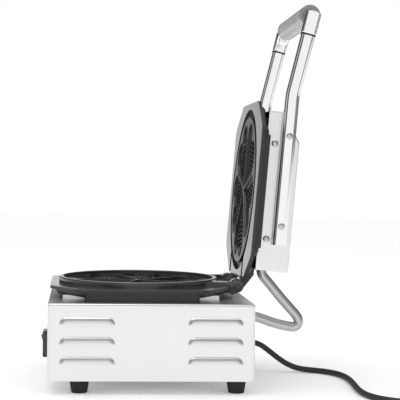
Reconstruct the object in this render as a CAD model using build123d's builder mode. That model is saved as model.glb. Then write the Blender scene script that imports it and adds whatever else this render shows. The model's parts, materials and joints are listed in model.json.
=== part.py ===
"""Countertop heart waffle maker: a vented stainless base, two cast plates with five
heart moulds each, and a hinged lid with a tubular handle.

Millimetres, +Z up. The origin is on the worktop, under the middle of the machine's
outline. -Y is the front, and the lid stands open, leaning back on its stops.
"""

import math
import os

from build123d import *

os.makedirs("parts", exist_ok=True)

# Base casing
base_width = 264.0
base_depth = 242.0
base_height = 90.0
front_reach = 158.4  # from the origin forward to the base's front face
sheet = 1.0
bend_radius = 2.5
panel_hem = 2.0  # folded edge of the front and rear panels
hem_width = 8.0
hem_edge_radius = 1.2
seam = 0.4  # dark gap between the wrapper and a panel
panel_flange = 12.0
bottom_sheet = 1.2
bottom_slip = 0.3

# Feet
foot_height = 16.0
foot_top_radius = 12.0
foot_bottom_radius = 9.5
foot_side_inset = 20.0
foot_front_inset = 37.6
foot_rear_inset = 19.0
foot_screw_seat = 6.0
foot_edge = 0.8

# Bottom plate's vent slots and the screws that hold it
vent_slot = (34.0, 5.0)
vent_pitch = (44.0, 22.0)
vent_grid = (4, 5)
panel_screw_x = 80.0
panel_screw_radius = 1.5
panel_screw_head = (3.0, 1.8)  # radius and height
screw_slip = 0.2
nut_slip = 0.05

# Louvres in the sides
louvre_length = 65.0
louvre_height = 8.7
louvre_proud = 3.4
louvre_wall = 0.8
louvre_pitch = 22.9
louvre_rows = 3
louvre_first_drop = 24.4  # from the base's top down to the first lip
louvre_column_spacing = 130.0

# Hinge and plates
hinge_from_rear = 12.0
hinge_above_base = 14.5
lid_open = 94.5  # degrees from shut to the open stop
plate_from_hinge = 119.3  # hinge axis to the middle of the moulds
plate_half_width = 120.0
plate_half_depth = 109.7
plate_front_half = 66.0  # half the straight front edge
plate_corner_cut = 33.0
plate_corner_radius = 13.0
flange_thickness = 4.0
pan_inset = 7.0
pan_depth = 6.0
pan_chamfer = 2.5
lower_flange_rise = 1.0  # flange faces above the hinge axis, lid shut
upper_flange_rise = 4.0
ring_outer_radius = 100.0
ring_wall = 6.0
ring_height = 6.1
ring_round = 1.5
land_overlap = 0.5
groove_outer_clearance = 2.3
groove_inner_clearance = 1.5
groove_depth = 4.1

# Heart moulds, with ribs in chevrons that run across the whole plate
mould_radius = 88.0
heart_count = 5
lower_land_rise = 2.5
lower_mould_depth = 8.0
upper_mould_depth = 7.0
ridge_width = 1.6
ridge_drop = 0.4
ridge_drop_radius = 59.0
lobe_angle = 16.5  # degrees from a heart's axis to the middle of a lobe
cusp_radius = 1.5
wall_steps = ((0.0, 0.0), (1.1, 0.5), (5.5, 1.0))  # how far in, at what share of the depth
rib_pitch = 5.5
rib_width = 1.6
rib_height = 3.0
rib_droop = 10.0  # degrees that a chevron's arms fall back towards the hinge
rib_bite = 1.2

# Hinge ears and pins
ear_outer = 60.0
ear_split = 50.0
ear_inner = 38.0
ear_gap = 0.5
lower_ear_radius = 7.5
lower_arm_top = 5.4
lower_arm_start = 42.0
lower_arm_foot = 3.5  # how far the arm's underside meets the flange ahead of its ear
ear_foot_angle = 246.0
arm_relief = 0.6
pad_setback = 3.0
upper_ear_radius = 8.6
upper_arm_top = 20.3
upper_arm_start = 50.0
upper_arm_slope = 8.0
upper_arm_slope_drop = 3.3
upper_arm_flat_end = 15.0
upper_arm_root = 10.5
upper_arm_sink = 1.0  # below the flange's back, so that the arm is cast into the plate
ear_crown_angle = 50.0
ear_throat_angle = 158.5
heel_crown_angle = 25.5
heel_reach = 10.3
heel_drop = 7.4
heel_bulge = 1.6
pin_press = 0.02
pin_radius = 2.5
pin_clearance = 0.05
pin_head_radius = 3.6
pin_head_height = 1.2

# Heating
element_radius = 3.25
element_gap = 0.05
element_half_width = 58.0
element_front = 46.0
element_rear = 38.0
element_end = 54.0
element_leg = 14.0
element_bend = 13.0
heater_half_width = 117.5
heater_half_depth = 67.5
heater_sheet = 1.0
lower_well_half_width = 92.0
upper_well_half_width = 80.0
well_half_depth = 58.0
lower_well_depth = 12.0
upper_well_depth = 10.6
well_clearance = 3.0
well_opening_corner = 8.0
well_corner = 6.0
tray_corner = 3.0
tray_step = 2.0
upper_roof_gap = 0.4

# Studs that carry the lower plate
stud_x = 72.0
stud_y = 88.0
stud_radius = 2.0
stud_bite = 5.0
stud_clearance = 0.05
stud_collar_radius = 4.5
stud_tail = 6.0
# Channels under the plate that brace the studs
rail_half_length = 84.0
rail_start = 68.5  # from the middle of the moulds
rail_end = 93.9
rail_sheet = 1.0
rail_gap = 0.2
nut_height = 3.2
nut_across = 7.0

# Lid cover
cover_half_width = 101.0
cover_rear = 25.0
cover_front = 216.0
cover_slope_start = 180.5
cover_top = 53.3
cover_nose = 31.2
cover_bend = 2.5
cover_screw_places = (63.0, 177.5)
cover_screw_rise = 23.6
screw_head_radius = 4.0
screw_head_height = 2.2
screw_radius = 2.0
bracket_width = 14.0
bracket_height = 17.0
bracket_sheet = 1.5

# Handle
tube_width = 16.5
tube_thickness = 11.5
tube_edge_radius = 4.6
tube_wall = 1.2
handle_start = 57.0
handle_rise = 38.5
handle_kink = 236.0
handle_kink_angle = 9.4
kink_radius = 60.0
grip_from_hinge = 337.5
elbow_radius = 22.0
grip_radius = 12.5
grip_bore = 10.0
grip_half_length = 78.0
cap_length = 6.0
cap_spigot = 8.0
cap_fit = 0.1
cap_round = 2.0
handle_bolt_places = (79.5, 187.0)
bolt_radius = 2.5
bolt_head_radius = 4.0
bolt_head_height = 1.4
bolt_tail = 6.0
bolt_slip = 0.1
bolt_nut_across = 8.0
cover_screw_length = 6.0

# Switch and lamps
switch_x = 95.0
switch_z = 55.5
bezel_width = 25.5
bezel_height = 31.0
bezel_thickness = 6.0
bezel_corner = 2.0
bezel_round = 1.6
switch_body_width = 21.6
switch_body_height = 28.4
switch_body_depth = 24.0
switch_cavity_depth = 14.0
rocker_width = 16.4
rocker_gap = 0.3
rocker_axis_depth = 4.0  # behind the panel's face
rocker_tilt = 10.0
rocker_tip = (10.15, 11.5)  # neutral: out from the axis, up from the axis
rocker_heel = (2.3, 12.8)
rocker_valley = 8.6
rocker_back = -3.0
rocker_back_half = 6.0
rocker_pin_radius = 1.5
rocker_pin_length = 1.4
lamp_places = ((-10.0, 66.0), (20.0, 66.0))
lamp_bezel_radius = 6.0
lamp_body_radius = 4.8
lamp_lens_radius = 4.2
lamp_depth = 14.0
lamp_rim = (0.8, 1.8)  # how far its edge slopes in, and its height
lamp_rim_start = 1.0
lamp_dome = ((1.0, 2.0), (0.85, 2.8), (0.45, 3.3), (0.0, 3.4))  # share of radius, height

# Thermostat and terminal block, hidden in the base
thermostat_forward = 20.0  # from the middle of the moulds
thermostat_ears = (44.0, 14.0, 4.0)
thermostat_can = (13.0, 12.0)  # radius and height
thermostat_tab = (1.0, 6.0, 8.0)
thermostat_tab_x = 6.0
block_place = (-60.0, 40.0)
block_size = (46.0, 20.0, 15.0)
block_chamfer = 4.0
block_ways = 4
block_way_pitch = 11.0
block_hole = (1.5, 3.0, 4.0)  # radius, counterbore's radius and depth
block_hole_depth = 10.0

# Conduit between base and lid
conduit_radius = 6.2
conduit_z = 77.2
conduit_rise = 36.6  # above the hinge axis at the lid cover's rear wall, lid shut
gland_hex = 20.0
base_gland_length = 11.0
lid_gland_length = 4.0
gland_nose_radius = 7.6
gland_thread = 3.0  # length of the spigot behind the wall
gland_locknut = 2.5
gland_slip = 0.05

# Supply cord
cord_radius = 3.6
cord_x = -45.0
cord_z = 38.0
relief_length = 14.4
relief_bore = 1.4  # wall round the cord where it passes the panel
relief_grip = ((7.0, 7.0), (7.5, 0.0))  # radius, distance behind the panel
relief_flange = ((8.5, 0.0), (8.5, 2.5), (6.5, 3.5))
relief_tip = 0.8
coil_pitch = 7.9
coil_outer = 46.1
coil_turns_in = 2
coil_half_turns_out = 3.5
coil_centre = (148.0, 313.0)
floor_gap = 0.1
plug_radius = 18.5
plug_length = 54.0
plug_steps = ((4.6, 0.0), (6.2, 16.0), (9.0, 18.0), (13.5, 24.0), (15.5, 34.0))
plug_shoulder = 38.0
plug_edge = 1.0
plug_pin_radius = 2.4
plug_pin_x = 9.5
plug_pin_length = 19.0

# Places worked out from the sizes above
base_front_y = -front_reach
base_rear_y = base_front_y + base_depth
base_mid_y = (base_front_y + base_rear_y) / 2
base_bottom_z = foot_height
base_top_z = foot_height + base_height
base_mid_z = (base_bottom_z + base_top_z) / 2
half_width = base_width / 2
inner_half = half_width - sheet
hinge_y = base_rear_y - hinge_from_rear
hinge_z = base_top_z + hinge_above_base
plate_y = hinge_y - plate_from_hinge
wrapper_front_y = base_front_y + panel_hem + seam
wrapper_rear_y = base_rear_y - panel_hem - seam
lower_flange_z = hinge_z + lower_flange_rise
lower_pan_z = lower_flange_z - flange_thickness - pan_depth
upper_flange_back = upper_flange_rise + flange_thickness
upper_pan_back = upper_flange_back + pan_depth
upper_roof = upper_pan_back + upper_roof_gap + heater_sheet
ring_inner_radius = ring_outer_radius - ring_wall
hinge_sides = (1, -1)
# Heights and places measured from the hinge axis
lower_flange_back = lower_flange_rise - flange_thickness
upper_ear_width = ear_split - ear_gap - ear_inner
pad_front = -plate_from_hinge + plate_half_depth - pan_inset - pad_setback

# Planes. The lid's own plane is its closed frame, turned back by the open angle.
front_plane = Plane(origin=(0, base_front_y, base_mid_z), x_dir=(1, 0, 0), z_dir=(0, -1, 0))
rear_plane = Plane(origin=(0, base_rear_y, base_mid_z), x_dir=(-1, 0, 0), z_dir=(0, 1, 0))
open_turn = math.radians(lid_open)
lid = Plane(
    origin=(0, hinge_y, hinge_z),
    x_dir=(1, 0, 0),
    z_dir=(0, math.sin(open_turn), math.cos(open_turn)),
)
lid_side = Plane(origin=lid.origin, x_dir=lid.y_dir, z_dir=lid.x_dir)
base_side = Plane(origin=(0, hinge_y, hinge_z), x_dir=(0, 1, 0), z_dir=(1, 0, 0))
lower_face = Plane(origin=(0, plate_y, lower_flange_z), x_dir=(1, 0, 0), z_dir=(0, 0, 1))


def lid_point(x, y, rise):
    """A place given in the lid's closed frame, measured from the hinge axis."""
    return lid.from_local_coords(Vector(x, y, rise))


upper_face = Plane(
    origin=lid_point(0, -plate_from_hinge, upper_flange_rise), x_dir=(-1, 0, 0), z_dir=-lid.z_dir
)


def save(block, name):
    """Label one finished piece and write its STEP file."""
    block.part.label = name
    export_step(block.part, f"parts/{name}.step")


def turned(*profile):
    """A solid turned about Z from the radii and heights of its outline."""
    with BuildPart() as block:
        with BuildSketch(Plane.XZ):
            with BuildLine():
                Polyline(*profile, close=True)
            make_face()
        revolve(axis=Axis.Z)
    return block.part


def pan_screw(head, head_height, shank, length):
    """A pan-head screw, its head's underside at the origin and its shank along -Z."""
    return turned(
        (0, -length),
        (shank, -length),
        (shank, 0),
        (head, 0),
        (head, head_height * 0.45),
        (head * 0.62, head_height),
        (0, head_height),
    )


def hex_nut(across, bore, height):
    """A hexagon nut that stands on the origin."""
    with BuildPart() as block:
        with BuildSketch():
            RegularPolygon(across / 2, 6, major_radius=False)
            Circle(bore, mode=Mode.SUBTRACT)
        extrude(amount=height)
    return block.part


# Louvre: a pressed hood with quarter-round ends, open along its lower lip
def hood_section(back, proud, rise):
    """A hood's section: flat below, with a quarter oval for its outer corner."""
    with BuildSketch() as sketch:
        with BuildLine():
            Line((-back, 0), (proud, 0))
            EllipticalCenterArc((0, 0), proud, rise, 0, arc_size=90)
            Line((0, rise), (-back, rise))
            Line((-back, rise), (-back, 0))
        make_face()
    return sketch.sketch


def hood(grow, back):
    """One hood's solid on the +X side: its lip is at z 0 and the wall's face at x 0."""
    section = hood_section(back, louvre_proud + grow, louvre_height + grow)
    half = louvre_length / 2 - louvre_height
    with BuildPart() as block:
        with BuildSketch(Plane.XZ.offset(-half)):
            add(section)
        extrude(amount=2 * half)
        for end, axis_x in ((half, -1), (-half, 1)):
            with BuildSketch(Plane.XZ.offset(-end)):
                add(section)
            revolve(axis=Axis((0, end, 0), (axis_x, 0, 0)), revolution_arc=90)
    return block.part


louvre_spots = [
    (half_width, base_mid_y + column, base_top_z - louvre_first_drop - row * louvre_pitch)
    for column in (-louvre_column_spacing / 2, louvre_column_spacing / 2)
    for row in range(louvre_rows)
]
stud_spots = [(x, plate_y + y) for x in (-stud_x, stud_x) for y in (-stud_y, stud_y)]

# Base wrapper: top and sides bent from one sheet
with BuildPart() as base_shell:
    with BuildSketch(Plane.XZ.offset(-wrapper_front_y)):
        with Locations((0, base_mid_z)):
            RectangleRounded(base_width, base_height, bend_radius)
        with Locations((0, base_bottom_z + bend_radius)):
            Rectangle(base_width, 2 * bend_radius)
        with Locations((0, base_mid_z - sheet)):
            RectangleRounded(
                base_width - 2 * sheet, base_height, bend_radius - sheet, mode=Mode.SUBTRACT
            )
        with Locations((0, base_bottom_z)):
            Rectangle(base_width - 2 * sheet, 4 * bend_radius, mode=Mode.SUBTRACT)
    extrude(amount=-(wrapper_rear_y - wrapper_front_y))
    with BuildSketch(Plane.XY.offset(base_top_z)):
        with Locations((0, plate_y)):
            RectangleRounded(
                2 * (lower_well_half_width + well_clearance),
                2 * (well_half_depth + well_clearance),
                well_opening_corner,
            )
        with Locations(*stud_spots):
            Circle(stud_radius + screw_slip)
    extrude(amount=-2 * sheet, mode=Mode.SUBTRACT)
    with Locations(*louvre_spots):
        add(hood(0.0, sheet / 2))
        add(hood(-louvre_wall, 2 * sheet), mode=Mode.SUBTRACT)
    split(bisect_by=Plane.YZ)
    mirror(about=Plane.YZ)
save(base_shell, "base_shell")


def panel(plane):
    """Front or rear panel: a hemmed face with four flanges that slide into the wrapper."""
    out = Axis(plane.origin, plane.z_dir)
    flange_height = base_height - sheet - bottom_sheet
    with BuildPart() as block:
        with BuildSketch(plane):
            RectangleRounded(base_width, base_height, bend_radius)
        extrude(amount=-panel_hem)
        fillet(block.faces().sort_by(out)[-1].outer_wire().edges(), hem_edge_radius)
        with BuildSketch(plane.offset(-panel_hem)):
            Rectangle(base_width - 2 * hem_width, base_height - 2 * hem_width)
        extrude(amount=panel_hem - sheet, mode=Mode.SUBTRACT)
        with BuildSketch(plane.offset(-panel_hem)):
            with Locations((0, (bottom_sheet - sheet) / 2)):
                RectangleRounded(base_width - 2 * sheet, flange_height, bend_radius)
                Rectangle(
                    base_width - 4 * sheet, flange_height - 2 * sheet, mode=Mode.SUBTRACT
                )
        extrude(amount=-panel_flange)
    return block.part


with BuildPart() as front_panel:
    add(panel(front_plane))
    with BuildSketch(front_plane):
        with Locations((switch_x, switch_z - base_mid_z)):
            Rectangle(switch_body_width + 2 * screw_slip, switch_body_height + 2 * screw_slip)
        with Locations(*[(x, z - base_mid_z) for x, z in lamp_places]):
            Circle(lamp_body_radius + screw_slip)
    extrude(amount=-panel_hem, mode=Mode.SUBTRACT)
save(front_panel, "front_panel")

with BuildPart() as rear_panel:
    add(panel(rear_plane))
    with BuildSketch(rear_plane):
        with Locations((0, conduit_z - base_mid_z)):
            Circle(conduit_radius)
        with Locations((-cord_x, cord_z - base_mid_z)):
            Circle(cord_radius + 1.5)
    extrude(amount=-panel_hem, mode=Mode.SUBTRACT)
save(rear_panel, "rear_panel")

# Bottom plate, with vent slots, and the feet screwed through it
foot_spots = [
    (x, y)
    for x in (foot_side_inset - half_width, half_width - foot_side_inset)
    for y in (base_front_y + foot_front_inset, base_rear_y - foot_rear_inset)
]
bottom_screw_spots = [
    (x, y)
    for x in (-panel_screw_x, 0, panel_screw_x)
    for y in (base_front_y + panel_hem + panel_flange / 2, base_rear_y - panel_hem - panel_flange / 2)
]
with BuildPart() as bottom_plate:
    with BuildSketch(Plane.XY.offset(base_bottom_z)):
        with Locations((0, base_mid_y)):
            Rectangle(
                2 * (inner_half - bottom_slip), base_depth - 2 * (panel_hem + bottom_slip)
            )
            with GridLocations(*vent_pitch, *vent_grid):
                SlotOverall(*vent_slot, mode=Mode.SUBTRACT)
        with Locations(*foot_spots):
            Circle(screw_radius + screw_slip, mode=Mode.SUBTRACT)
        with Locations(*bottom_screw_spots):
            Circle(panel_screw_radius + screw_slip, mode=Mode.SUBTRACT)
    extrude(amount=bottom_sheet)
save(bottom_plate, "bottom_plate")

foot = turned(
    (screw_radius + screw_slip, foot_screw_seat),
    (screw_head_radius + 1.0, foot_screw_seat),
    (screw_head_radius + 1.0, 0),
    (foot_bottom_radius - foot_edge, 0),
    (foot_bottom_radius, foot_edge),
    (foot_top_radius, foot_height),
    (screw_radius + screw_slip, foot_height),
)
with BuildPart() as rubber_feet:
    with Locations(*foot_spots):
        add(foot)
save(rubber_feet, "rubber_feet")

foot_screw_length = foot_height - foot_screw_seat + bottom_sheet + nut_height + 1.0
with BuildPart() as foot_screws:
    with Locations(*[Plane(origin=(x, y, foot_screw_seat), z_dir=(0, 0, -1)) for x, y in foot_spots]):
        add(pan_screw(screw_head_radius, screw_head_height, screw_radius, foot_screw_length))
save(foot_screws, "foot_screws")

with BuildPart() as foot_nuts:
    with Locations(*[(x, y, base_bottom_z + bottom_sheet) for x, y in foot_spots]):
        add(hex_nut(nut_across, screw_radius + nut_slip, nut_height))
save(foot_nuts, "foot_nuts")

with BuildPart() as bottom_screws:
    with Locations(
        *[Plane(origin=(x, y, base_bottom_z), z_dir=(0, 0, -1)) for x, y in bottom_screw_spots]
    ):
        add(pan_screw(*panel_screw_head, panel_screw_radius, bottom_sheet))
save(bottom_screws, "bottom_screws")


# Cast plates: an octagonal flange, a pan behind it and five hearts whose points meet
def flange_outline():
    """The octagon's corners, seen on the mould side, with the hinge towards +y."""
    side = plate_half_depth - plate_corner_cut
    return [
        (plate_front_half, -plate_half_depth),
        (plate_half_width, -side),
        (plate_half_width, side),
        (plate_front_half, plate_half_depth),
        (-plate_front_half, plate_half_depth),
        (-plate_half_width, side),
        (-plate_half_width, -side),
        (-plate_front_half, -plate_half_depth),
    ]


sector = math.pi / heart_count
lobe_turn = math.radians(lobe_angle)
lobe_spread = math.sin(sector - lobe_turn)
lobe_distance = (mould_radius + ridge_width / 2) / (1 + lobe_spread)
lobe_x = lobe_distance * math.sin(lobe_turn)
lobe_y = lobe_distance * math.cos(lobe_turn)
full_lobe = lobe_distance * lobe_spread - ridge_width / 2


def heart(inset):
    """A heart with its point at the origin and its lobes towards +y, drawn in by inset."""
    lobe = full_lobe - inset
    notch = cusp_radius + inset
    notch_y = lobe_y + math.sqrt((full_lobe + cusp_radius) ** 2 - lobe_x**2)
    side = math.degrees(sector)
    lean = math.degrees(math.atan2(notch_y - lobe_y, lobe_x))
    start = (0, (ridge_width / 2 + inset) / math.sin(sector))
    with BuildSketch() as sketch:
        with BuildLine():
            lobe_arc = CenterArc((lobe_x, lobe_y), lobe, -side, side + 180 - lean)
            Line(start, lobe_arc @ 0)
            CenterArc((0, notch_y), notch, -lean, -(90 - lean))
            mirror(about=Plane.YZ)
        make_face()
    return sketch.sketch


def mould_cutter(depth):
    """One heart's cavity below the origin's plane, its walls easing into the floor."""
    with BuildPart() as block:
        for inset, share in wall_steps:
            with BuildSketch(Plane.XY.offset(-share * depth)):
                add(heart(inset))
        loft(ruled=True)
    return block.part


def chevron_field():
    """Chevrons across the whole plate, their peaks on its middle line towards the front."""
    slope = math.tan(math.radians(rib_droop))
    fall = mould_radius * slope
    half = rib_width / 2
    rows = int(mould_radius * (1 + slope) / rib_pitch)
    with BuildSketch() as sketch:
        for row in range(-rows, rows + 1):
            peak = row * rib_pitch
            Polygon(
                (0, peak - half),
                (mould_radius, peak - half + fall),
                (mould_radius, peak + half + fall),
                (0, peak + half),
                (-mould_radius, peak + half + fall),
                (-mould_radius, peak - half + fall),
                align=None,
            )
    return sketch.sketch


def mould_ribs(depth):
    """The ribs on the hearts' floors, reaching into their walls."""
    field = chevron_field()
    with BuildPart() as block:
        for step in range(heart_count):
            with BuildSketch(Plane.XY.offset(-depth)):
                add(field)
                add(heart(rib_bite), rotation=step * 360 / heart_count, mode=Mode.INTERSECT)
            extrude(amount=rib_height)
    return block.part


def cast_plate(face, land, depth):
    """A plate without its ring, groove or hinge: flange, pan, land and moulds."""
    out = Axis(face.origin, face.z_dir)
    land_plane = face.offset(land)
    with BuildPart() as block:
        with BuildSketch(face):
            Polygon(*flange_outline(), align=None)
        extrude(amount=-flange_thickness)
        fillet(block.edges().filter_by(out), plate_corner_radius)
        with BuildSketch(face.offset(-flange_thickness)):
            Polygon(*flange_outline(), align=None)
            fillet(vertices(), plate_corner_radius)
            offset(amount=-pan_inset, mode=Mode.REPLACE)
        extrude(amount=-pan_depth)
        chamfer(block.faces().sort_by(out)[0].outer_wire().edges(), pan_chamfer)
        if land > 0:
            with BuildSketch(face):
                Circle(ring_inner_radius + land_overlap)
            extrude(amount=land)
        with BuildSketch(land_plane):
            Circle(ridge_drop_radius)
        extrude(amount=-ridge_drop, mode=Mode.SUBTRACT)
        with Locations(land_plane):
            with PolarLocations(0, heart_count):
                add(mould_cutter(depth), mode=Mode.SUBTRACT)
            add(mould_ribs(depth))
    return block.part


def round_point(radius, degrees):
    """The point of a circle about the hinge axis at an angle above the rearward line."""
    return (radius * math.cos(math.radians(degrees)), radius * math.sin(math.radians(degrees)))


with BuildPart() as lower_plate:
    add(cast_plate(lower_face, lower_land_rise, lower_mould_depth))
    with BuildSketch(lower_face):
        Circle(ring_outer_radius)
        Circle(ring_inner_radius, mode=Mode.SUBTRACT)
    extrude(amount=ring_height)
    ring_top = lower_plate.faces().sort_by(Axis.Z)[-1]
    fillet(ring_top.edges(), ring_round)
    # Arms that reach back over the flange to the hinge axis
    with BuildSketch(base_side.offset(ear_split)):
        with BuildLine():
            Polyline(
                (-lower_arm_start, lower_flange_back),
                (-lower_arm_start, lower_arm_top),
                (-math.sqrt(lower_ear_radius**2 - lower_arm_top**2), lower_arm_top),
                (0, 0),
                round_point(lower_ear_radius, ear_foot_angle),
                (-lower_ear_radius - lower_arm_foot, lower_flange_back),
                close=True,
            )
        make_face()
        Circle(lower_ear_radius)
        Circle(pin_radius + pin_press, mode=Mode.SUBTRACT)
    extrude(amount=ear_outer - ear_split)
    # Stop pads that the upper plate's heels come against
    with BuildSketch(base_side.offset(ear_inner)):
        with BuildLine():
            Polyline(
                (pad_front, lower_flange_back),
                (pad_front, lower_flange_back - pan_depth),
                (-upper_ear_radius, lower_flange_back - pan_depth),
                (-upper_ear_radius, lower_flange_back),
                close=True,
            )
        make_face()
    extrude(amount=upper_ear_width)
    split(bisect_by=Plane.YZ)
    mirror(about=Plane.YZ)
    with Locations(*[(x, y, lower_pan_z) for x, y in stud_spots]):
        Cylinder(stud_radius + stud_clearance, 2 * stud_bite, mode=Mode.SUBTRACT)
save(lower_plate, "lower_plate")

with BuildPart() as upper_plate:
    add(cast_plate(upper_face, 0.0, upper_mould_depth))
    # Arms along the back of the plate, with a heel beyond the axis
    with BuildSketch(lid_side.offset(ear_inner)):
        with BuildLine():
            Polyline(
                (-upper_arm_start, upper_flange_rise + upper_arm_sink),
                (-upper_arm_start, upper_arm_top - upper_arm_slope_drop),
                (-upper_arm_start + upper_arm_slope, upper_arm_top),
                (-upper_arm_flat_end, upper_arm_top),
                round_point(upper_ear_radius, ear_crown_angle),
                (0, 0),
                round_point(upper_ear_radius, ear_throat_angle),
                (-upper_arm_root, upper_flange_rise + upper_arm_sink),
                close=True,
            )
        make_face()
        with BuildLine():
            Polyline(
                (0, 0),
                round_point(upper_ear_radius, heel_crown_angle),
                (heel_reach + heel_bulge, -heel_drop / 2),
                (heel_reach, -heel_drop),
                (0, -heel_drop),
                close=True,
            )
        make_face()
        Circle(upper_ear_radius)
        Circle(pin_radius + pin_clearance, mode=Mode.SUBTRACT)
    extrude(amount=upper_ear_width)
    # Groove for the lower plate's ring, which also crosses the arms
    with BuildSketch(upper_face):
        Circle(ring_outer_radius + groove_outer_clearance)
        Circle(ring_inner_radius - groove_inner_clearance, mode=Mode.SUBTRACT)
    extrude(amount=-groove_depth, mode=Mode.SUBTRACT)
    # Relief for the lower plate's arms, which stand above its flange
    with BuildSketch(lid_side.offset(ear_split - ear_gap)):
        with Locations((-lower_arm_start / 2 - arm_relief, upper_flange_rise)):
            Rectangle(lower_arm_start, 2 * (lower_arm_top - upper_flange_rise + arm_relief))
    extrude(amount=ear_outer - ear_split + 2 * ear_gap, mode=Mode.SUBTRACT)
    split(bisect_by=Plane.YZ)
    mirror(about=Plane.YZ)
save(upper_plate, "upper_plate")

hinge_pin = turned(
    (0, -ear_outer + ear_inner),
    (pin_radius, -ear_outer + ear_inner),
    (pin_radius, 0),
    (pin_head_radius, 0),
    (pin_head_radius, pin_head_height * 0.6),
    (pin_head_radius * 0.7, pin_head_height),
    (0, pin_head_height),
)
with BuildPart() as hinge_pins:
    with Locations(
        *[Plane(origin=(side * ear_outer, hinge_y, hinge_z), z_dir=(side, 0, 0)) for side in hinge_sides]
    ):
        add(hinge_pin)
save(hinge_pins, "hinge_pins")


# Sheet trays that hold the heating elements against the plates
def heater_tray(plane, side_wall, end_wall, well_half, well_depth):
    """A tray open towards +z of its plane, with a deeper well in its middle."""
    with BuildPart() as block:
        with BuildSketch(plane):
            RectangleRounded(2 * heater_half_width, 2 * heater_half_depth, tray_corner)
        extrude(amount=side_wall)
        with BuildSketch(plane.offset(heater_sheet)):
            RectangleRounded(
                2 * (heater_half_width - heater_sheet),
                2 * (heater_half_depth - heater_sheet),
                tray_corner - heater_sheet,
            )
        extrude(amount=side_wall, mode=Mode.SUBTRACT)
        with BuildSketch(plane.offset(end_wall)):
            Rectangle(
                2 * (heater_half_width - heater_sheet - tray_step), 2 * (heater_half_depth + sheet)
            )
        extrude(amount=side_wall, mode=Mode.SUBTRACT)
        with BuildSketch(plane.offset(-well_depth)):
            RectangleRounded(2 * well_half, 2 * well_half_depth, well_corner)
        extrude(amount=well_depth)
        with BuildSketch(plane.offset(heater_sheet - well_depth)):
            RectangleRounded(
                2 * (well_half - heater_sheet),
                2 * (well_half_depth - heater_sheet),
                well_corner - heater_sheet,
            )
        extrude(amount=well_depth, mode=Mode.SUBTRACT)
    return block.part


lower_tray_plane = Plane(origin=(0, plate_y, base_top_z), x_dir=(1, 0, 0), z_dir=(0, 0, 1))
with BuildPart() as lower_heater_cover:
    add(
        heater_tray(
            lower_tray_plane,
            lower_flange_z - flange_thickness - base_top_z,
            lower_pan_z - base_top_z,
            lower_well_half_width,
            lower_well_depth,
        )
    )
save(lower_heater_cover, "lower_heater_cover")

upper_tray_plane = Plane(
    origin=lid_point(0, -plate_from_hinge, upper_roof), x_dir=(-1, 0, 0), z_dir=-lid.z_dir
)
with BuildPart() as upper_heater_cover:
    add(
        heater_tray(
            upper_tray_plane,
            upper_roof - upper_flange_back,
            upper_roof - upper_pan_back,
            upper_well_half_width,
            upper_well_depth,
        )
    )
save(upper_heater_cover, "upper_heater_cover")


def element(plane):
    """A tubular element in one loop, its two ends side by side towards the hinge."""
    corners = [
        (-element_leg, element_end),
        (-element_leg, element_rear),
        (-element_half_width, element_rear),
        (-element_half_width, -element_front),
        (element_half_width, -element_front),
        (element_half_width, element_rear),
        (element_leg, element_rear),
        (element_leg, element_end),
    ]
    with BuildPart() as block:
        with BuildLine(plane):
            FilletPolyline(*corners, radius=element_bend)
        start = plane.from_local_coords(Vector(*corners[0]))
        with BuildSketch(Plane(origin=start, x_dir=plane.x_dir, z_dir=-plane.y_dir)):
            Circle(element_radius)
        sweep()
    return block.part


with BuildPart() as lower_heating_element:
    add(element(lower_face.offset(lower_pan_z - lower_flange_z - element_radius - element_gap)))
save(lower_heating_element, "lower_heating_element")
with BuildPart() as upper_heating_element:
    add(element(upper_face.offset(upper_flange_rise - upper_pan_back - element_radius - element_gap)))
save(upper_heating_element, "upper_heating_element")

plate_stud = turned(
    (0, -stud_tail),
    (stud_radius, -stud_tail),
    (stud_radius, 0),
    (stud_collar_radius, 0),
    (stud_collar_radius, lower_pan_z - base_top_z),
    (stud_radius, lower_pan_z - base_top_z),
    (stud_radius, lower_pan_z - base_top_z + stud_bite - 0.3),
    (0, lower_pan_z - base_top_z + stud_bite - 0.3),
)
with BuildPart() as plate_studs:
    with Locations(*[(x, y, base_top_z) for x, y in stud_spots]):
        add(plate_stud)
save(plate_studs, "plate_studs")

with BuildPart() as stud_nuts:
    with Locations(*[(x, y, base_top_z - sheet - nut_height) for x, y in stud_spots]):
        add(hex_nut(nut_across, stud_radius + nut_slip, nut_height))
save(stud_nuts, "stud_nuts")

with BuildPart() as plate_rails:
    for side in hinge_sides:
        rail_y = plate_y + side * (rail_start + rail_end) / 2
        with BuildSketch(Plane.XY.offset(base_top_z)):
            with Locations((0, rail_y)):
                Rectangle(2 * rail_half_length, rail_end - rail_start)
        extrude(amount=lower_pan_z - base_top_z)
        with BuildSketch(Plane.XY.offset(base_top_z)):
            with Locations((0, rail_y)):
                Rectangle(2 * rail_half_length, rail_end - rail_start - 2 * rail_sheet)
        extrude(amount=lower_pan_z - base_top_z - rail_sheet, mode=Mode.SUBTRACT)
    with Locations(*[(x, y, lower_pan_z) for x, y in stud_spots]):
        Cylinder(stud_collar_radius + rail_gap, 4 * rail_sheet, mode=Mode.SUBTRACT)
save(plate_rails, "plate_rails")


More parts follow.
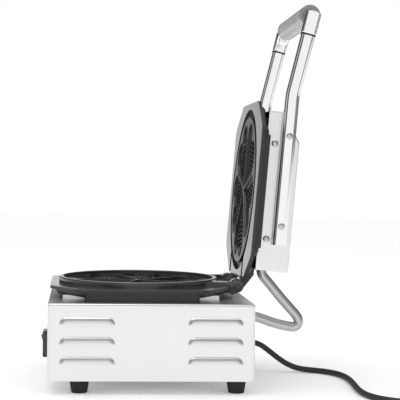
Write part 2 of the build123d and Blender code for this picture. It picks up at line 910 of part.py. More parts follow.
# Lid cover: one drawn shell, open towards the plate, with its front edge sloped off
def cover_form(inset):
    """The cover's solid, drawn in by inset on every side but the open one."""
    slope = math.atan2(cover_top - cover_nose, cover_front - cover_slope_start)
    drop = inset / math.cos(slope)
    top = cover_top - inset
    nose = cover_nose - drop + inset * math.tan(slope)
    bend = cover_bend - inset
    start = cover_slope_start + (inset - drop) / math.tan(slope)
    with BuildPart() as block:
        with BuildSketch(lid_side.offset(-(cover_half_width - inset))):
            with BuildLine():
                Polyline(
                    (-cover_rear - inset, upper_pan_back),
                    (-cover_rear - inset, top),
                    (-start, top),
                    (-cover_front + inset, nose),
                    (-cover_front + inset, upper_pan_back),
                    close=True,
                )
            make_face()
        extrude(amount=2 * (cover_half_width - inset))
        across = block.edges().filter_by(Axis.X)
        fillet(across.sort_by(Axis(lid.origin, lid.z_dir))[2:], bend)
        for side in hinge_sides:
            face = block.faces().sort_by(Axis.X)[-1 if side > 0 else 0]
            rim = face.outer_wire().edges()
            base_line = rim.sort_by(Axis(lid.origin, lid.z_dir))[0]
            fillet(rim.filter_by(lambda edge: edge.center() != base_line.center()), bend * 0.6)
    return block.part


def side_planes(reach, along, rise):
    """Planes on both sides of the lid, facing outwards, at a place in its closed frame."""
    return [
        Plane(origin=lid_point(side * reach, -place, rise), x_dir=lid.z_dir, z_dir=(side, 0, 0))
        for side in hinge_sides
        for place in along
    ]


cover_screw_planes = side_planes(cover_half_width, cover_screw_places, cover_screw_rise)
cover_bolt_planes = side_planes(cover_half_width, handle_bolt_places, handle_rise)
lid_rear_plane = Plane(origin=lid_point(0, -cover_rear, conduit_rise), x_dir=(1, 0, 0), z_dir=lid.y_dir)
with BuildPart() as lid_cover:
    add(cover_form(0.0))
    add(cover_form(sheet), mode=Mode.SUBTRACT)
    # The sides sit on the heater cover, and the rear edge clears the hinge arms
    with BuildSketch(lid_side.offset(-cover_half_width)):
        with Locations((-plate_from_hinge, upper_pan_back)):
            Rectangle(2 * heater_half_depth + 0.6, 2 * (upper_roof - upper_pan_back))
    extrude(amount=2 * cover_half_width, mode=Mode.SUBTRACT)
    with BuildSketch(lid_rear_plane):
        for side in hinge_sides:
            with Locations((side * (ear_inner + ear_split - ear_gap) / 2, conduit_rise - upper_pan_back)):
                Rectangle(
                    ear_split - ear_gap - ear_inner + 1.2, 2 * (upper_arm_top - upper_pan_back + 0.6)
                )
        Circle(conduit_radius)
    extrude(amount=-4 * sheet, mode=Mode.SUBTRACT)
    with Locations(*cover_screw_planes):
        Cylinder(screw_radius + screw_slip, 6 * sheet, mode=Mode.SUBTRACT)
    with Locations(*cover_bolt_planes):
        Cylinder(bolt_radius + bolt_slip, 6 * sheet, mode=Mode.SUBTRACT)
save(lid_cover, "lid_cover")

# Angle brackets that the lid cover is screwed to
with BuildPart() as lid_brackets:
    for side in hinge_sides:
        for place in cover_screw_places:
            corner = lid_point(side * (cover_half_width - sheet), -place, upper_roof)
            bracket_plane = Plane(origin=corner, x_dir=(-side, 0, 0), z_dir=lid.y_dir)
            with BuildSketch(bracket_plane.offset(-bracket_width / 2)):
                with BuildLine():
                    tall = bracket_height * side
                    thin = bracket_sheet * side
                    Polyline(
                        (0, 0),
                        (0, tall),
                        (bracket_sheet, tall),
                        (bracket_sheet, thin),
                        (bracket_width, thin),
                        (bracket_width, 0),
                        close=True,
                    )
                make_face()
            extrude(amount=bracket_width)
    with Locations(*cover_screw_planes):
        Cylinder(screw_radius + bolt_slip, 8 * sheet, mode=Mode.SUBTRACT)
save(lid_brackets, "lid_brackets")

with BuildPart() as lid_cover_screws:
    with Locations(*cover_screw_planes):
        add(pan_screw(screw_head_radius, screw_head_height, screw_radius, cover_screw_length))
save(lid_cover_screws, "lid_cover_screws")

# Handle: a flattened tube bent into a frame, closed at its lower ends
handle_x = cover_half_width + tube_thickness / 2
grip_rise = handle_rise + math.tan(math.radians(handle_kink_angle)) * (grip_from_hinge - handle_kink)


def tube_section(thin):
    """The flattened tube's outline, drawn in by thin."""
    return RectangleRounded(
        tube_thickness - 2 * thin, tube_width - 2 * thin, tube_edge_radius - thin, mode=Mode.PRIVATE
    )


handle_foot = lid_point(handle_x, -handle_start, handle_rise)
foot_plane = Plane(origin=handle_foot, x_dir=lid.x_dir, z_dir=-lid.y_dir)
with BuildPart() as handle_frame:
    with BuildLine():
        FilletPolyline(
            handle_foot,
            lid_point(handle_x, -handle_kink, handle_rise),
            lid_point(handle_x, -grip_from_hinge, grip_rise),
            lid_point(0, -grip_from_hinge, grip_rise),
            radius=[kink_radius, elbow_radius],
        )
    with BuildSketch(foot_plane):
        add(tube_section(0))
        add(tube_section(tube_wall), mode=Mode.SUBTRACT)
    sweep()
    with BuildSketch(foot_plane):
        add(tube_section(tube_wall / 2))
    extrude(amount=tube_wall)
    with Locations(*side_planes(handle_x, handle_bolt_places, handle_rise)):
        Cylinder(bolt_radius + bolt_slip, 2 * tube_thickness, mode=Mode.SUBTRACT)
    split(bisect_by=Plane.YZ)
    mirror(about=Plane.YZ)
save(handle_frame, "handle_frame")

bolt_length = tube_thickness + sheet + bolt_tail
bolt_head_planes = side_planes(cover_half_width + tube_thickness, handle_bolt_places, handle_rise)
with BuildPart() as handle_bolts:
    with Locations(*bolt_head_planes):
        add(pan_screw(bolt_head_radius, bolt_head_height, bolt_radius, bolt_length))
save(handle_bolts, "handle_bolts")

with BuildPart() as handle_nuts:
    with Locations(*[plane.offset(-sheet - nut_height) for plane in cover_bolt_planes]):
        add(hex_nut(bolt_nut_across, bolt_radius + nut_slip, nut_height))
save(handle_nuts, "handle_nuts")

grip_tilt = math.radians(handle_kink_angle)
grip_centre = lid_point(0, -grip_from_hinge, grip_rise)
grip_across = lid.z_dir * math.cos(grip_tilt) + lid.y_dir * math.sin(grip_tilt)
grip_plane = Plane(origin=grip_centre, x_dir=grip_across, z_dir=(1, 0, 0))
with BuildPart() as handle_grip:
    with BuildSketch(grip_plane.offset(-grip_half_length)):
        Circle(grip_radius)
        Circle(grip_bore, mode=Mode.SUBTRACT)
    extrude(amount=2 * grip_half_length)
save(handle_grip, "handle_grip")

with BuildPart() as grip_end_caps:
    with BuildSketch(grip_plane.offset(grip_half_length)):
        Circle(grip_radius)
    extrude(amount=cap_length)
    fillet(grip_end_caps.faces().sort_by(Axis.X)[-1].edges(), cap_round)
    with BuildSketch(grip_plane.offset(grip_half_length - cap_spigot)):
        Circle(grip_bore - cap_fit)
    extrude(amount=cap_spigot)
    with BuildSketch(grip_plane.offset(grip_half_length - cap_spigot)):
        RectangleRounded(
            tube_width + 2 * cap_fit, tube_thickness + 2 * cap_fit, tube_edge_radius + cap_fit
        )
    extrude(amount=cap_spigot + cap_length, mode=Mode.SUBTRACT)
    mirror(about=Plane.YZ)
save(grip_end_caps, "grip_end_caps")

# Rocker switch in the front panel
with BuildPart() as switch_housing:
    with BuildSketch(front_plane.offset(-switch_body_depth)):
        with Locations((switch_x, switch_z - base_mid_z)):
            Rectangle(switch_body_width, switch_body_height)
    extrude(amount=switch_body_depth)
    with BuildSketch(front_plane):
        with Locations((switch_x, switch_z - base_mid_z)):
            RectangleRounded(bezel_width, bezel_height, bezel_corner)
    extrude(amount=bezel_thickness)
    fillet(switch_housing.faces().sort_by(Axis.Y)[0].edges(), bezel_round)
    with BuildSketch(front_plane.offset(bezel_thickness)):
        with Locations((switch_x, switch_z - base_mid_z)):
            Rectangle(
                rocker_width + 2 * rocker_gap,
                2 * (math.hypot(*rocker_heel) + rocker_gap),
            )
    extrude(amount=-bezel_thickness - switch_cavity_depth, mode=Mode.SUBTRACT)
    with Locations(
        Plane(origin=(switch_x, base_front_y + rocker_axis_depth, switch_z), z_dir=(1, 0, 0))
    ):
        Cylinder(
            rocker_pin_radius + pin_clearance,
            rocker_width + 2 * (rocker_pin_length + rocker_gap),
            mode=Mode.SUBTRACT,
        )
save(switch_housing, "switch_housing")

tilt = math.radians(rocker_tilt)
rocker_side = Plane(
    origin=(switch_x + rocker_width / 2, base_front_y + rocker_axis_depth, switch_z),
    x_dir=(0, -math.cos(tilt), -math.sin(tilt)),
    z_dir=(-1, 0, 0),
)
with BuildPart() as rocker:
    with BuildSketch(rocker_side):
        Polygon(
            (rocker_valley, 0),
            rocker_tip,
            rocker_heel,
            (rocker_back, rocker_back_half),
            (rocker_back, -rocker_back_half),
            (rocker_heel[0], -rocker_heel[1]),
            (rocker_tip[0], -rocker_tip[1]),
            align=None,
        )
    extrude(amount=rocker_width)
    with BuildSketch(rocker_side.offset(-rocker_pin_length)):
        Circle(rocker_pin_radius)
    extrude(amount=rocker_width + 2 * rocker_pin_length)
save(rocker, "rocker")

# Indicator lamps
lamp_body = turned(
    (0, -lamp_depth),
    (lamp_body_radius, -lamp_depth),
    (lamp_body_radius, 0),
    (lamp_bezel_radius, 0),
    (lamp_bezel_radius, lamp_rim_start),
    (lamp_bezel_radius - lamp_rim[0], lamp_rim[1]),
    (lamp_lens_radius, lamp_rim[1]),
    (lamp_lens_radius, 0),
    (0, 0),
)
lamp_lens = turned(
    (0, 0),
    (lamp_lens_radius, 0),
    *[(lamp_lens_radius * share, height) for share, height in lamp_dome],
)
lamp_planes = [
    Plane(origin=(x, base_front_y, z), x_dir=(1, 0, 0), z_dir=(0, -1, 0)) for x, z in lamp_places
]
with BuildPart() as indicator_lamps:
    with Locations(*lamp_planes):
        add(lamp_body)
save(indicator_lamps, "indicator_lamps")
with BuildPart() as lamp_lenses:
    with Locations(*lamp_planes):
        add(lamp_lens)
save(lamp_lenses, "lamp_lenses")

# Thermostat under the well, and the terminal block on the bottom plate
thermostat_y = plate_y - thermostat_forward
ears_z = base_top_z - lower_well_depth - thermostat_ears[2]
with BuildPart() as thermostat:
    with BuildSketch(Plane.XY.offset(ears_z)):
        with Locations((0, thermostat_y)):
            SlotOverall(thermostat_ears[0], thermostat_ears[1])
    extrude(amount=thermostat_ears[2])
    with BuildSketch(Plane.XY.offset(ears_z)):
        with Locations((0, thermostat_y)):
            Circle(thermostat_can[0])
    extrude(amount=-thermostat_can[1])
    with BuildSketch(Plane.XY.offset(ears_z - thermostat_can[1])):
        with Locations((-thermostat_tab_x, thermostat_y), (thermostat_tab_x, thermostat_y)):
            Rectangle(thermostat_tab[0], thermostat_tab[1])
    extrude(amount=-thermostat_tab[2])
save(thermostat, "thermostat")

block_x, block_y = block_place
block_z = base_bottom_z + bottom_sheet
with BuildPart() as terminal_block:
    with BuildSketch(Plane.XY.offset(block_z)):
        with Locations((block_x, block_y)):
            Rectangle(block_size[0], block_size[1])
    extrude(amount=block_size[2])
    top_edges = terminal_block.faces().sort_by(Axis.Z)[-1].edges()
    chamfer(top_edges.filter_by(Axis.X), block_chamfer)
    with Locations((block_x, block_y, block_z + block_size[2])):
        with GridLocations(block_way_pitch, 1, block_ways, 1):
            CounterBoreHole(*block_hole, depth=block_hole_depth)
save(terminal_block, "terminal_block")


# Conduit, cord and leads: straight runs joined by arcs as large as the runs allow
def corner_radii(points, name):
    """The radius of each corner of a route, printed for checking."""
    places = [Vector(*point) for point in points]
    radii = []
    for before, here, after in zip(places, places[1:], places[2:]):
        arriving = here - before
        leaving = after - here
        turn = math.radians(arriving.get_angle(leaving))
        radii.append(0.45 * min(arriving.length, leaving.length) / math.tan(turn / 2))
    print(name, "radii", [round(radius, 1) for radius in radii])
    return radii


def tube(points, radius, name):
    """A round tube along a route."""
    places = [Vector(*point) for point in points]
    with BuildPart() as block:
        with BuildLine() as route:
            FilletPolyline(*places, radius=corner_radii(points, name))
        with BuildSketch(Plane(origin=places[0], z_dir=places[1] - places[0])):
            Circle(radius)
        sweep()
    length = sum(edge.length for edge in route.line.edges())
    share = block.part.volume / (math.pi * radius**2 * length)
    print(name, "length", round(length, 1), "volume over section times length", round(share, 4))
    return block.part


def gland(plane, length):
    """A conduit gland on a sheet wall: hexagon and nose outside, locknut inside."""
    with BuildPart() as block:
        with Locations(plane):
            add(
                turned(
                    (0, -sheet - gland_thread),
                    (conduit_radius - gland_slip, -sheet - gland_thread),
                    (conduit_radius - gland_slip, 0),
                    (gland_hex / 2, 0),
                    (gland_hex / 2, length * 0.55),
                    (gland_nose_radius + 1.0, length * 0.6),
                    (gland_nose_radius, length),
                    (0, length),
                )
            )
        with BuildSketch(plane):
            RegularPolygon(gland_hex / 2, 6, major_radius=False)
        extrude(amount=length * 0.5)
        with BuildSketch(plane.offset(-sheet)):
            RegularPolygon(gland_hex / 2, 6, major_radius=False)
        extrude(amount=-gland_locknut)
    return block.part


conduit_plane = Plane(origin=(0, base_rear_y, conduit_z), x_dir=(-1, 0, 0), z_dir=(0, 1, 0))
with BuildPart() as base_conduit_gland:
    add(gland(conduit_plane, base_gland_length))
save(base_conduit_gland, "base_conduit_gland")
with BuildPart() as lid_conduit_gland:
    add(gland(lid_rear_plane, lid_gland_length))
save(lid_conduit_gland, "lid_conduit_gland")

conduit_top = lid_point(0, -cover_rear + lid_gland_length, conduit_rise)
conduit_route = [
    tuple(conduit_top),
    tuple(conduit_top + lid.y_dir * 7.2),
    (0, 119.4, 120.4),
    (0, 130.0, 107.2),
    (0, 141.5, 94.0),
    (0, 161.0, 73.2),
    (0, 155.4, 62.8),
    (0, 140.6, 65.3),
    (0, 125.5, 69.0),
    (0, 110.5, 74.4),
    (0, base_rear_y + base_gland_length + 7, conduit_z),
    (0, base_rear_y + base_gland_length, conduit_z),
]
with BuildPart() as flexible_conduit:
    add(tube(conduit_route, conduit_radius, "flexible_conduit"))
save(flexible_conduit, "flexible_conduit")

# Cord gland with its tapered relief, and the cord to its coil
cord_plane = Plane(origin=(cord_x, base_rear_y, cord_z), x_dir=(-1, 0, 0), z_dir=(0, 1, 0))
with BuildPart() as cord_gland:
    with Locations(cord_plane):
        add(
            turned(
                (0, -sheet - relief_grip[0][1]),
                *[(radius, -sheet - depth) for radius, depth in relief_grip],
                (cord_radius + relief_bore, -sheet),
                (cord_radius + relief_bore, 0),
                *relief_flange,
                (cord_radius + relief_tip, relief_length),
                (0, relief_length),
            )
        )
save(cord_gland, "cord_gland")

floor_z = cord_radius + floor_gap
coil_x, coil_y = coil_centre
climb_start = 2 * coil_turns_in
coil_last = climb_start + 1 + coil_half_turns_out


def coil_stop(half_turns):
    """A place on the coil's line and its direction, a number of half turns along."""
    turn = math.pi * half_turns
    middle = climb_start + 0.5
    rate = coil_pitch / 2
    radius = coil_outer - rate * (middle - abs(half_turns - middle))
    grow = rate / math.pi * (-1 if half_turns < middle else 1)
    height = floor_z + coil_pitch * min(max(half_turns - climb_start, 0), 1)
    outwards = Vector(math.cos(turn), math.sin(turn), 0)
    onwards = Vector(-math.sin(turn), math.cos(turn), 0)
    place = Vector(coil_x, coil_y, height) + outwards * radius
    return place, (outwards * grow + onwards * radius).normalized()


def biarc(start, leaving, end, arriving):
    """The two arcs that join two places in the given directions."""
    span = end - start
    total = leaving + arriving
    along = span.dot(total)
    spread = 2 * (1 - leaving.dot(arriving))
    reach = (math.sqrt(along**2 + spread * span.dot(span)) - along) / spread
    first = start + leaving * reach
    second = end - arriving * reach
    middle = (first + second) / 2
    TangentArc(start, middle, tangent=leaving)
    TangentArc(middle, end, tangent=second - first)


coil_places = [coil_stop(step) for step in range(math.ceil(coil_last))] + [coil_stop(coil_last)]
with BuildPart() as cord_coil:
    with BuildLine() as coil_line:
        for (start, leaving), (end, arriving) in zip(coil_places, coil_places[1:]):
            biarc(start, leaving, end, arriving)
    with BuildSketch(Plane(origin=coil_places[0][0], z_dir=coil_places[0][1])):
        Circle(cord_radius)
    sweep()
save(cord_coil, "cord_coil")
coil_edges = coil_line.line.edges()
coil_length = sum(edge.length for edge in coil_edges)
samples = [edge @ (step / 24) for edge in coil_edges for step in range(24)]
nearest = min(
    (samples[first] - samples[second]).length
    for first in range(len(samples))
    for second in range(first + 30, len(samples))
)
print("cord_coil length", round(coil_length, 1), "least gap", round(nearest - 2 * cord_radius, 2))

coil_start, coil_heading = coil_places[0]
coil_end, coil_leaving = coil_places[-1]
cord_route = [
    (cord_x, base_rear_y + relief_length, cord_z),
    (cord_x, 107.0, cord_z),
    (-44.6, 117.5, 34.3),
    (-43.6, 127.5, 27.0),
    (-41.8, 139.5, 17.6),
    (-39.2, 152.0, 9.4),
    (-35.6, 166.0, 4.6),
    (-30.2, 181.5, floor_z),
    (-20.5, 196.8, floor_z),
    (-5.5, 208.4, floor_z),
    (14.5, 214.6, floor_z),
    (38.0, 216.2, floor_z),
    (66.0, 214.8, floor_z),
    (95.0, 212.0, floor_z),
    (122.0, 210.6, floor_z),
    (146.0, 212.2, floor_z),
    (168.0, 220.0, floor_z),
    (184.0, 234.5, floor_z),
    (192.4, 252.5, floor_z),
    (196.0, 272.0, floor_z),
    tuple(coil_start - coil_heading * 20.0),
    tuple(coil_start),
]
with BuildPart() as power_cord:
    add(tube(cord_route, cord_radius, "power_cord"))
save(power_cord, "power_cord")

plug_back = Vector(91.0, coil_y + 44.2, plug_radius + floor_gap)
lead_route = [
    tuple(coil_end),
    tuple(coil_end + coil_leaving * 14.0),
    (120.0, coil_y + 44.4, floor_z + coil_pitch + 2.4),
    (106.0, coil_y + 44.2, plug_radius - 1.0),
    (99.0, coil_y + 44.2, plug_radius + floor_gap),
    tuple(plug_back),
]
with BuildPart() as plug_lead:
    add(tube(lead_route, cord_radius, "plug_lead"))
save(plug_lead, "plug_lead")

plug_plane = Plane(origin=plug_back, x_dir=(0, 1, 0), z_dir=(-1, 0, 0))
with BuildPart() as plug_body:
    with Locations(plug_plane):
        add(
            turned(
                (0, 0),
                *plug_steps,
                (plug_radius, plug_shoulder),
                (plug_radius, plug_length - plug_edge),
                (plug_radius - plug_edge, plug_length),
                (0, plug_length),
            )
        )
save(plug_body, "plug_body")
with BuildPart() as plug_pins:
    with BuildSketch(plug_plane.offset(plug_length)):
        with Locations((-plug_pin_x, 0), (plug_pin_x, 0)):
            Circle(plug_pin_radius)
    extrude(amount=plug_pin_length)
    fillet(plug_pins.faces().group_by(Axis.X)[0].edges(), plug_edge)
save(plug_pins, "plug_pins")
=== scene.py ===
import json
import math

import bmesh
import bpy
from mathutils import Matrix, Vector


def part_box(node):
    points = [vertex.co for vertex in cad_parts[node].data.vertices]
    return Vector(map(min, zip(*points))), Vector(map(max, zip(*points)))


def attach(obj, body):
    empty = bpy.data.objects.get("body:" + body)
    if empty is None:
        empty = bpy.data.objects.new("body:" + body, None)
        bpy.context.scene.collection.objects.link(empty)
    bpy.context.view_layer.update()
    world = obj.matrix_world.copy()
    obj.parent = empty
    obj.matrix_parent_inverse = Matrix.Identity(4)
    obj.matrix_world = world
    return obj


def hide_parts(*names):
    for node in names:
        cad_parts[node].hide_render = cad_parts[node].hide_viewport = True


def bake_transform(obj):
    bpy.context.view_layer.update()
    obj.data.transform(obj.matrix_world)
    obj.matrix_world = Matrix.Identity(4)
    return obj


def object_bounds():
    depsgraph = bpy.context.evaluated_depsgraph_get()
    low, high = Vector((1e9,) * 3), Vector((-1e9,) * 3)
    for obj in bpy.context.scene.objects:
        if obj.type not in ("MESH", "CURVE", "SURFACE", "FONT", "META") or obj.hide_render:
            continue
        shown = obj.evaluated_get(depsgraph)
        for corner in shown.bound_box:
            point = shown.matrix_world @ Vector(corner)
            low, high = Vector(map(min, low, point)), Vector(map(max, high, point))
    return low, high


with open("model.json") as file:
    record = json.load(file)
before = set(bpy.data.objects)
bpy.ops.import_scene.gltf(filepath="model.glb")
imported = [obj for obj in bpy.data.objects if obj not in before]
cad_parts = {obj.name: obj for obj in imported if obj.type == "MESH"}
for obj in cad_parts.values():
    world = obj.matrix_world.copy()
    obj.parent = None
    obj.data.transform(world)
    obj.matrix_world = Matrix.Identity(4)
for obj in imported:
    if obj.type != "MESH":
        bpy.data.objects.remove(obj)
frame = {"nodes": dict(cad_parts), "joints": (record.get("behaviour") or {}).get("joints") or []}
CAD_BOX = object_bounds()
NODES = frame["nodes"]
JOINTS = {joint["name"]: joint for joint in frame["joints"]}
MM = 0.001

HINGE = Vector(JOINTS["lid_hinge"]["pos_m"])
LID_LEAN = math.radians(JOINTS["lid_hinge"]["range_deg"][1] - 90)

bl_info = {
    "name": "Heart waffle maker",
    "version": (1, 0, 0),
    "blender": (4, 5, 0),
    "location": "View3D > Sidebar > Waffle maker",
    "description": "Finishes, cord and small parts of a countertop heart waffle maker",
    "category": "Object",
}


def colour(name, note, value):
    """A colour that a user may change."""
    return bpy.props.FloatVectorProperty(
        name=name, description=note, default=value, size=3, min=0.0, max=1.0, subtype="COLOR"
    )


def length(name, note, value):
    """A length in metres that a user may change."""
    return bpy.props.FloatProperty(name=name, description=note, default=value, unit="LENGTH")


def share(name, note, value):
    """A number from 0 to 1 that a user may change."""
    return bpy.props.FloatProperty(
        name=name, description=note, default=value, min=0.0, max=1.0, subtype="FACTOR"
    )


def angle(name, note, degrees):
    """An angle that a user may change."""
    return bpy.props.FloatProperty(
        name=name, description=note, default=math.radians(degrees), subtype="ANGLE"
    )


def number(name, note, value):
    """A plain number that a user may change."""
    return bpy.props.FloatProperty(name=name, description=note, default=value)


class StageSettings(bpy.types.PropertyGroup):
    """Camera, surroundings and floor."""

    camera_place: bpy.props.FloatVectorProperty(
        name="Camera place",
        description="Where the camera stands, level with the lid's plate",
        default=(1.524, -0.1215, 0.2561),
        subtype="TRANSLATION",
        unit="LENGTH",
    )
    camera_yaw: angle("Camera yaw", "Turn of the camera towards the rear of the machine", 3.29)
    camera_roll: angle("Camera roll", "Lean of the camera, as in the photograph", 0.7)
    lens: number("Lens", "Focal length in millimetres", 108.0)
    sensor_width: number("Sensor width", "Width of the camera's sensor in millimetres", 36.0)
    shift_x: number("Shift across", "Lens shift across", 0.1245)
    shift_y: number("Shift up", "Lens shift upwards", -0.0626)
    floor_half: length("Floor half width", "Half the floor's side", 6.0)
    floor_colour: colour("Floor colour", "Pale studio floor", (0.95, 0.95, 0.95))
    floor_roughness: share("Floor roughness", "How dull the floor is", 0.9)
    floor_lift: share("Floor lift", "Light that the floor adds for the camera and reflections", 0.13)
    fill_level: share("Fill level", "Strength of the even light from all round", 0.93)
    gap_light: share("Gap light", "How bright reflections are between the soft panels", 0.06)
    end_light: share("End light", "How bright the panels at the front and rear are", 0.22)


class CordSettings(bpy.types.PropertyGroup):
    """Supply cord, its coil and the conduit."""

    cord_diameter: length("Cord diameter", "Outside diameter of the supply cord", 7.2 * MM)
    cord_length: length("Cord length", "Length of the supply cord from gland to plug", 1.45)
    coil_outer: length("Coil radius", "Radius of the outermost turn, to its middle line", 46.1 * MM)
    coil_pitch: length("Coil pitch", "Step from one turn to the next", 7.9 * MM)
    conduit_diameter: length("Conduit diameter", "Outside diameter of the conduit", 12.4 * MM)
    sheath_colour: colour("Sheath colour", "Black cord sheath", (0.018, 0.018, 0.019))
    conduit_colour: colour("Conduit colour", "Smooth metal conduit", (0.32, 0.32, 0.324))
    conduit_roughness: share("Conduit roughness", "How dull the conduit is", 0.15)
    pin_colour: colour("Plug pin colour", "Plated plug pins", (0.72, 0.69, 0.60))


class SteelSettings(bpy.types.PropertyGroup):
    """Sheet, tube and fasteners."""

    casing_colour: colour("Casing colour", "Brushed stainless sheet", (0.85, 0.85, 0.855))
    casing_roughness: share("Casing roughness", "How dull the brushed sheet is", 0.36)
    tube_colour: colour("Tube colour", "Polished handle tube", (0.90, 0.90, 0.905))
    tube_roughness: share("Tube roughness", "How dull the tube is", 0.11)
    plated_colour: colour("Plated colour", "Zinc-plated fasteners", (0.60, 0.60, 0.61))
    plated_roughness: share("Plated roughness", "How dull the plating is", 0.30)
    blackened_colour: colour("Blackened colour", "Hinge pins", (0.09, 0.09, 0.095))
    darkened_colour: colour("Darkened colour", "Sheet darkened by heat", (0.046, 0.046, 0.048))
    darkened_bloom: colour("Darkened bloom", "Warm patches on that sheet", (0.064, 0.060, 0.056))
    sheath_tint: colour("Element tint", "Oxidised heating element", (0.20, 0.17, 0.14))
    sheath_bloom: colour("Element bloom", "Warm patches on the element", (0.30, 0.24, 0.17))


class MouldedSettings(bpy.types.PropertyGroup):
    """Cast, rubber and plastic finishes."""

    cast_colour: colour("Plate colour", "Black non-stick coating on the plates", (0.016, 0.016, 0.017))
    cast_roughness: share("Plate roughness", "How dull the coating is", 0.42)
    rubber_colour: colour("Rubber colour", "Moulded feet", (0.020, 0.020, 0.021))
    # This colour is painted shade: a black ring stands where the gap under each sleeve's lower edge lies
    # in shadow
    shadow_band_colour: colour("Shadow band colour", "Painted shadow under the handle's sleeves", (0.02, 0.02, 0.02))
    plastic_colour: colour("Plastic colour", "Switch and lamp bodies", (0.017, 0.017, 0.018))
    grip_colour: colour("Grip colour", "Grey grip sleeve", (0.37, 0.37, 0.373))
    cap_colour: colour("Cap colour", "Dark end caps of the grip", (0.20, 0.20, 0.202))
    lens_colour: colour("Lens colour", "Tinted lamp lenses", (0.72, 0.16, 0.03))
    insulator_colour: colour("Insulator colour", "Terminal block and thermostat", (0.72, 0.70, 0.64))


class Wire:
    """A shader socket that Python arithmetic extends with Math nodes."""

    def __init__(self, graph, socket):
        self.graph = graph
        self.socket = socket

    def __add__(self, other):
        return self.graph.maths("ADD", self, other)

    def __radd__(self, other):
        return self.graph.maths("ADD", other, self)

    def __sub__(self, other):
        return self.graph.maths("SUBTRACT", self, other)

    def __rsub__(self, other):
        return self.graph.maths("SUBTRACT", other, self)

    def __mul__(self, other):
        return self.graph.maths("MULTIPLY", self, other)

    def __rmul__(self, other):
        return self.graph.maths("MULTIPLY", other, self)


class Graph:
    """The nodes of one material or of the world."""

    COARSE = 2.0
    MEDIUM = 3.0
    FINE = 4.0

    def __init__(self, owner):
        owner.use_nodes = True
        self.owner = owner
        self.tree = owner.node_tree

    def feed(self, socket, value):
        """Link a wire to a socket, or set the socket to a plain value."""
        if isinstance(value, Wire):
            self.tree.links.new(value.socket, socket)
        else:
            socket.default_value = value

    def node(self, kind, settings=None, sockets=None, output=0):
        """Any node: its type, its settings, which are set first, and what its sockets get."""
        made = self.tree.nodes.new(kind)
        for key, value in (settings or {}).items():
            setattr(made, key, value)
        for key, value in (sockets or {}).items():
            self.feed(made.inputs[key], value)
        return Wire(self, made.outputs[output])

    def maths(self, operation, *values):
        """A Math node by its operation."""
        return self.node("ShaderNodeMath", {"operation": operation}, dict(enumerate(values)))

    def greatest(self, first, *others):
        """The greatest of several wires."""
        for other in others:
            first = self.maths("MAXIMUM", first, other)
        return first

    def ray(self, kind):
        """1 for rays of a kind, such as Is Camera Ray."""
        return self.node("ShaderNodeLightPath", output=kind)

    def part(self, vector, axis):
        """One coordinate of a vector."""
        return self.node("ShaderNodeSeparateXYZ", None, {0: vector}, output=axis)

    def place(self, axis):
        """The piece's own coordinate along X, Y or Z."""
        return self.part(self.node("ShaderNodeTexCoord", output="Object"), axis)

    def ramp(self, value, start, end):
        """0 before start, 1 after end, and smooth between them."""
        return self.node(
            "ShaderNodeMapRange",
            {"interpolation_type": "SMOOTHSTEP"},
            {0: value, 1: start, 2: end, 3: 0.0, 4: 1.0},
        )

    def noise(self, scale, detail, turn=(0.0, 0.0, 0.0)):
        """Noise in the piece's own coordinates, with one scale or a scale for each axis."""
        scales = scale if isinstance(scale, tuple) else (scale, scale, scale)
        spot = self.node("ShaderNodeTexCoord", output="Object")
        mapped = self.node(
            "ShaderNodeMapping", None, {"Vector": spot, "Rotation": turn, "Scale": scales}
        )
        return self.node(
            "ShaderNodeTexNoise", None, {"Vector": mapped, "Scale": 1.0, "Detail": detail}
        )

    def swing(self, pattern, width):
        """A pattern from 0 to 1 made to swing about 0."""
        return (pattern - 0.5) * width

    def tint(self, factor, first, second):
        """A colour between two others."""
        sockets = {0: factor, 6: (*first, 1.0), 7: (*second, 1.0)}
        return self.node("ShaderNodeMix", {"data_type": "RGBA"}, sockets, output=2)

    def bump(self, height, strength, distance):
        """A normal tipped by a height."""
        return self.node(
            "ShaderNodeBump", None, {"Height": height, "Strength": strength, "Distance": distance}
        )

    def shade(self, values):
        """Feed the surface shader's sockets."""
        surface = self.tree.nodes["Principled BSDF"]
        for key, value in values.items():
            self.feed(surface.inputs[key], value)
        return self.owner


def scaled(base, factor):
    """A colour made lighter or darker."""
    return tuple(min(1.0, part * factor) for part in base)


def finish(name, build, *arguments, **sizes):
    """A material by name, built on its first use."""
    known = bpy.data.materials.get(name)
    return known or build(Graph(bpy.data.materials.new(name)), *arguments, **sizes)


def brushed(graph, base, roughness, grain, turn=(0.0, 0.0, 0.0), relief=0.10):
    """Steel with fine lines, smudged a little by handling."""
    darkest, lightest = 0.94, 1.05
    smudge_grain = 9.0
    line_swing, smudge_swing = 0.16, 0.12
    line_depth = 0.2 * MM
    lines = graph.noise(grain, Graph.FINE, turn)
    smudges = graph.noise(smudge_grain, Graph.MEDIUM)
    dull = roughness + graph.swing(lines, line_swing) + graph.swing(smudges, smudge_swing)
    return graph.shade(
        {
            "Base Color": graph.tint(lines, scaled(base, darkest), scaled(base, lightest)),
            "Metallic": 1.0,
            "Roughness": dull,
            "Normal": graph.bump(lines, relief, line_depth),
        }
    )


def plated(graph, base, roughness):
    """Plated steel with a faint cloudiness."""
    darkest, lightest = 0.86, 1.08
    cloud_grain, cloud_swing = 260.0, 0.18
    relief, depth = 0.06, 0.1 * MM
    clouds = graph.noise(cloud_grain, Graph.MEDIUM)
    return graph.shade(
        {
            "Base Color": graph.tint(clouds, scaled(base, darkest), scaled(base, lightest)),
            "Metallic": 1.0,
            "Roughness": roughness + graph.swing(clouds, cloud_swing),
            "Normal": graph.bump(clouds, relief, depth),
        }
    )


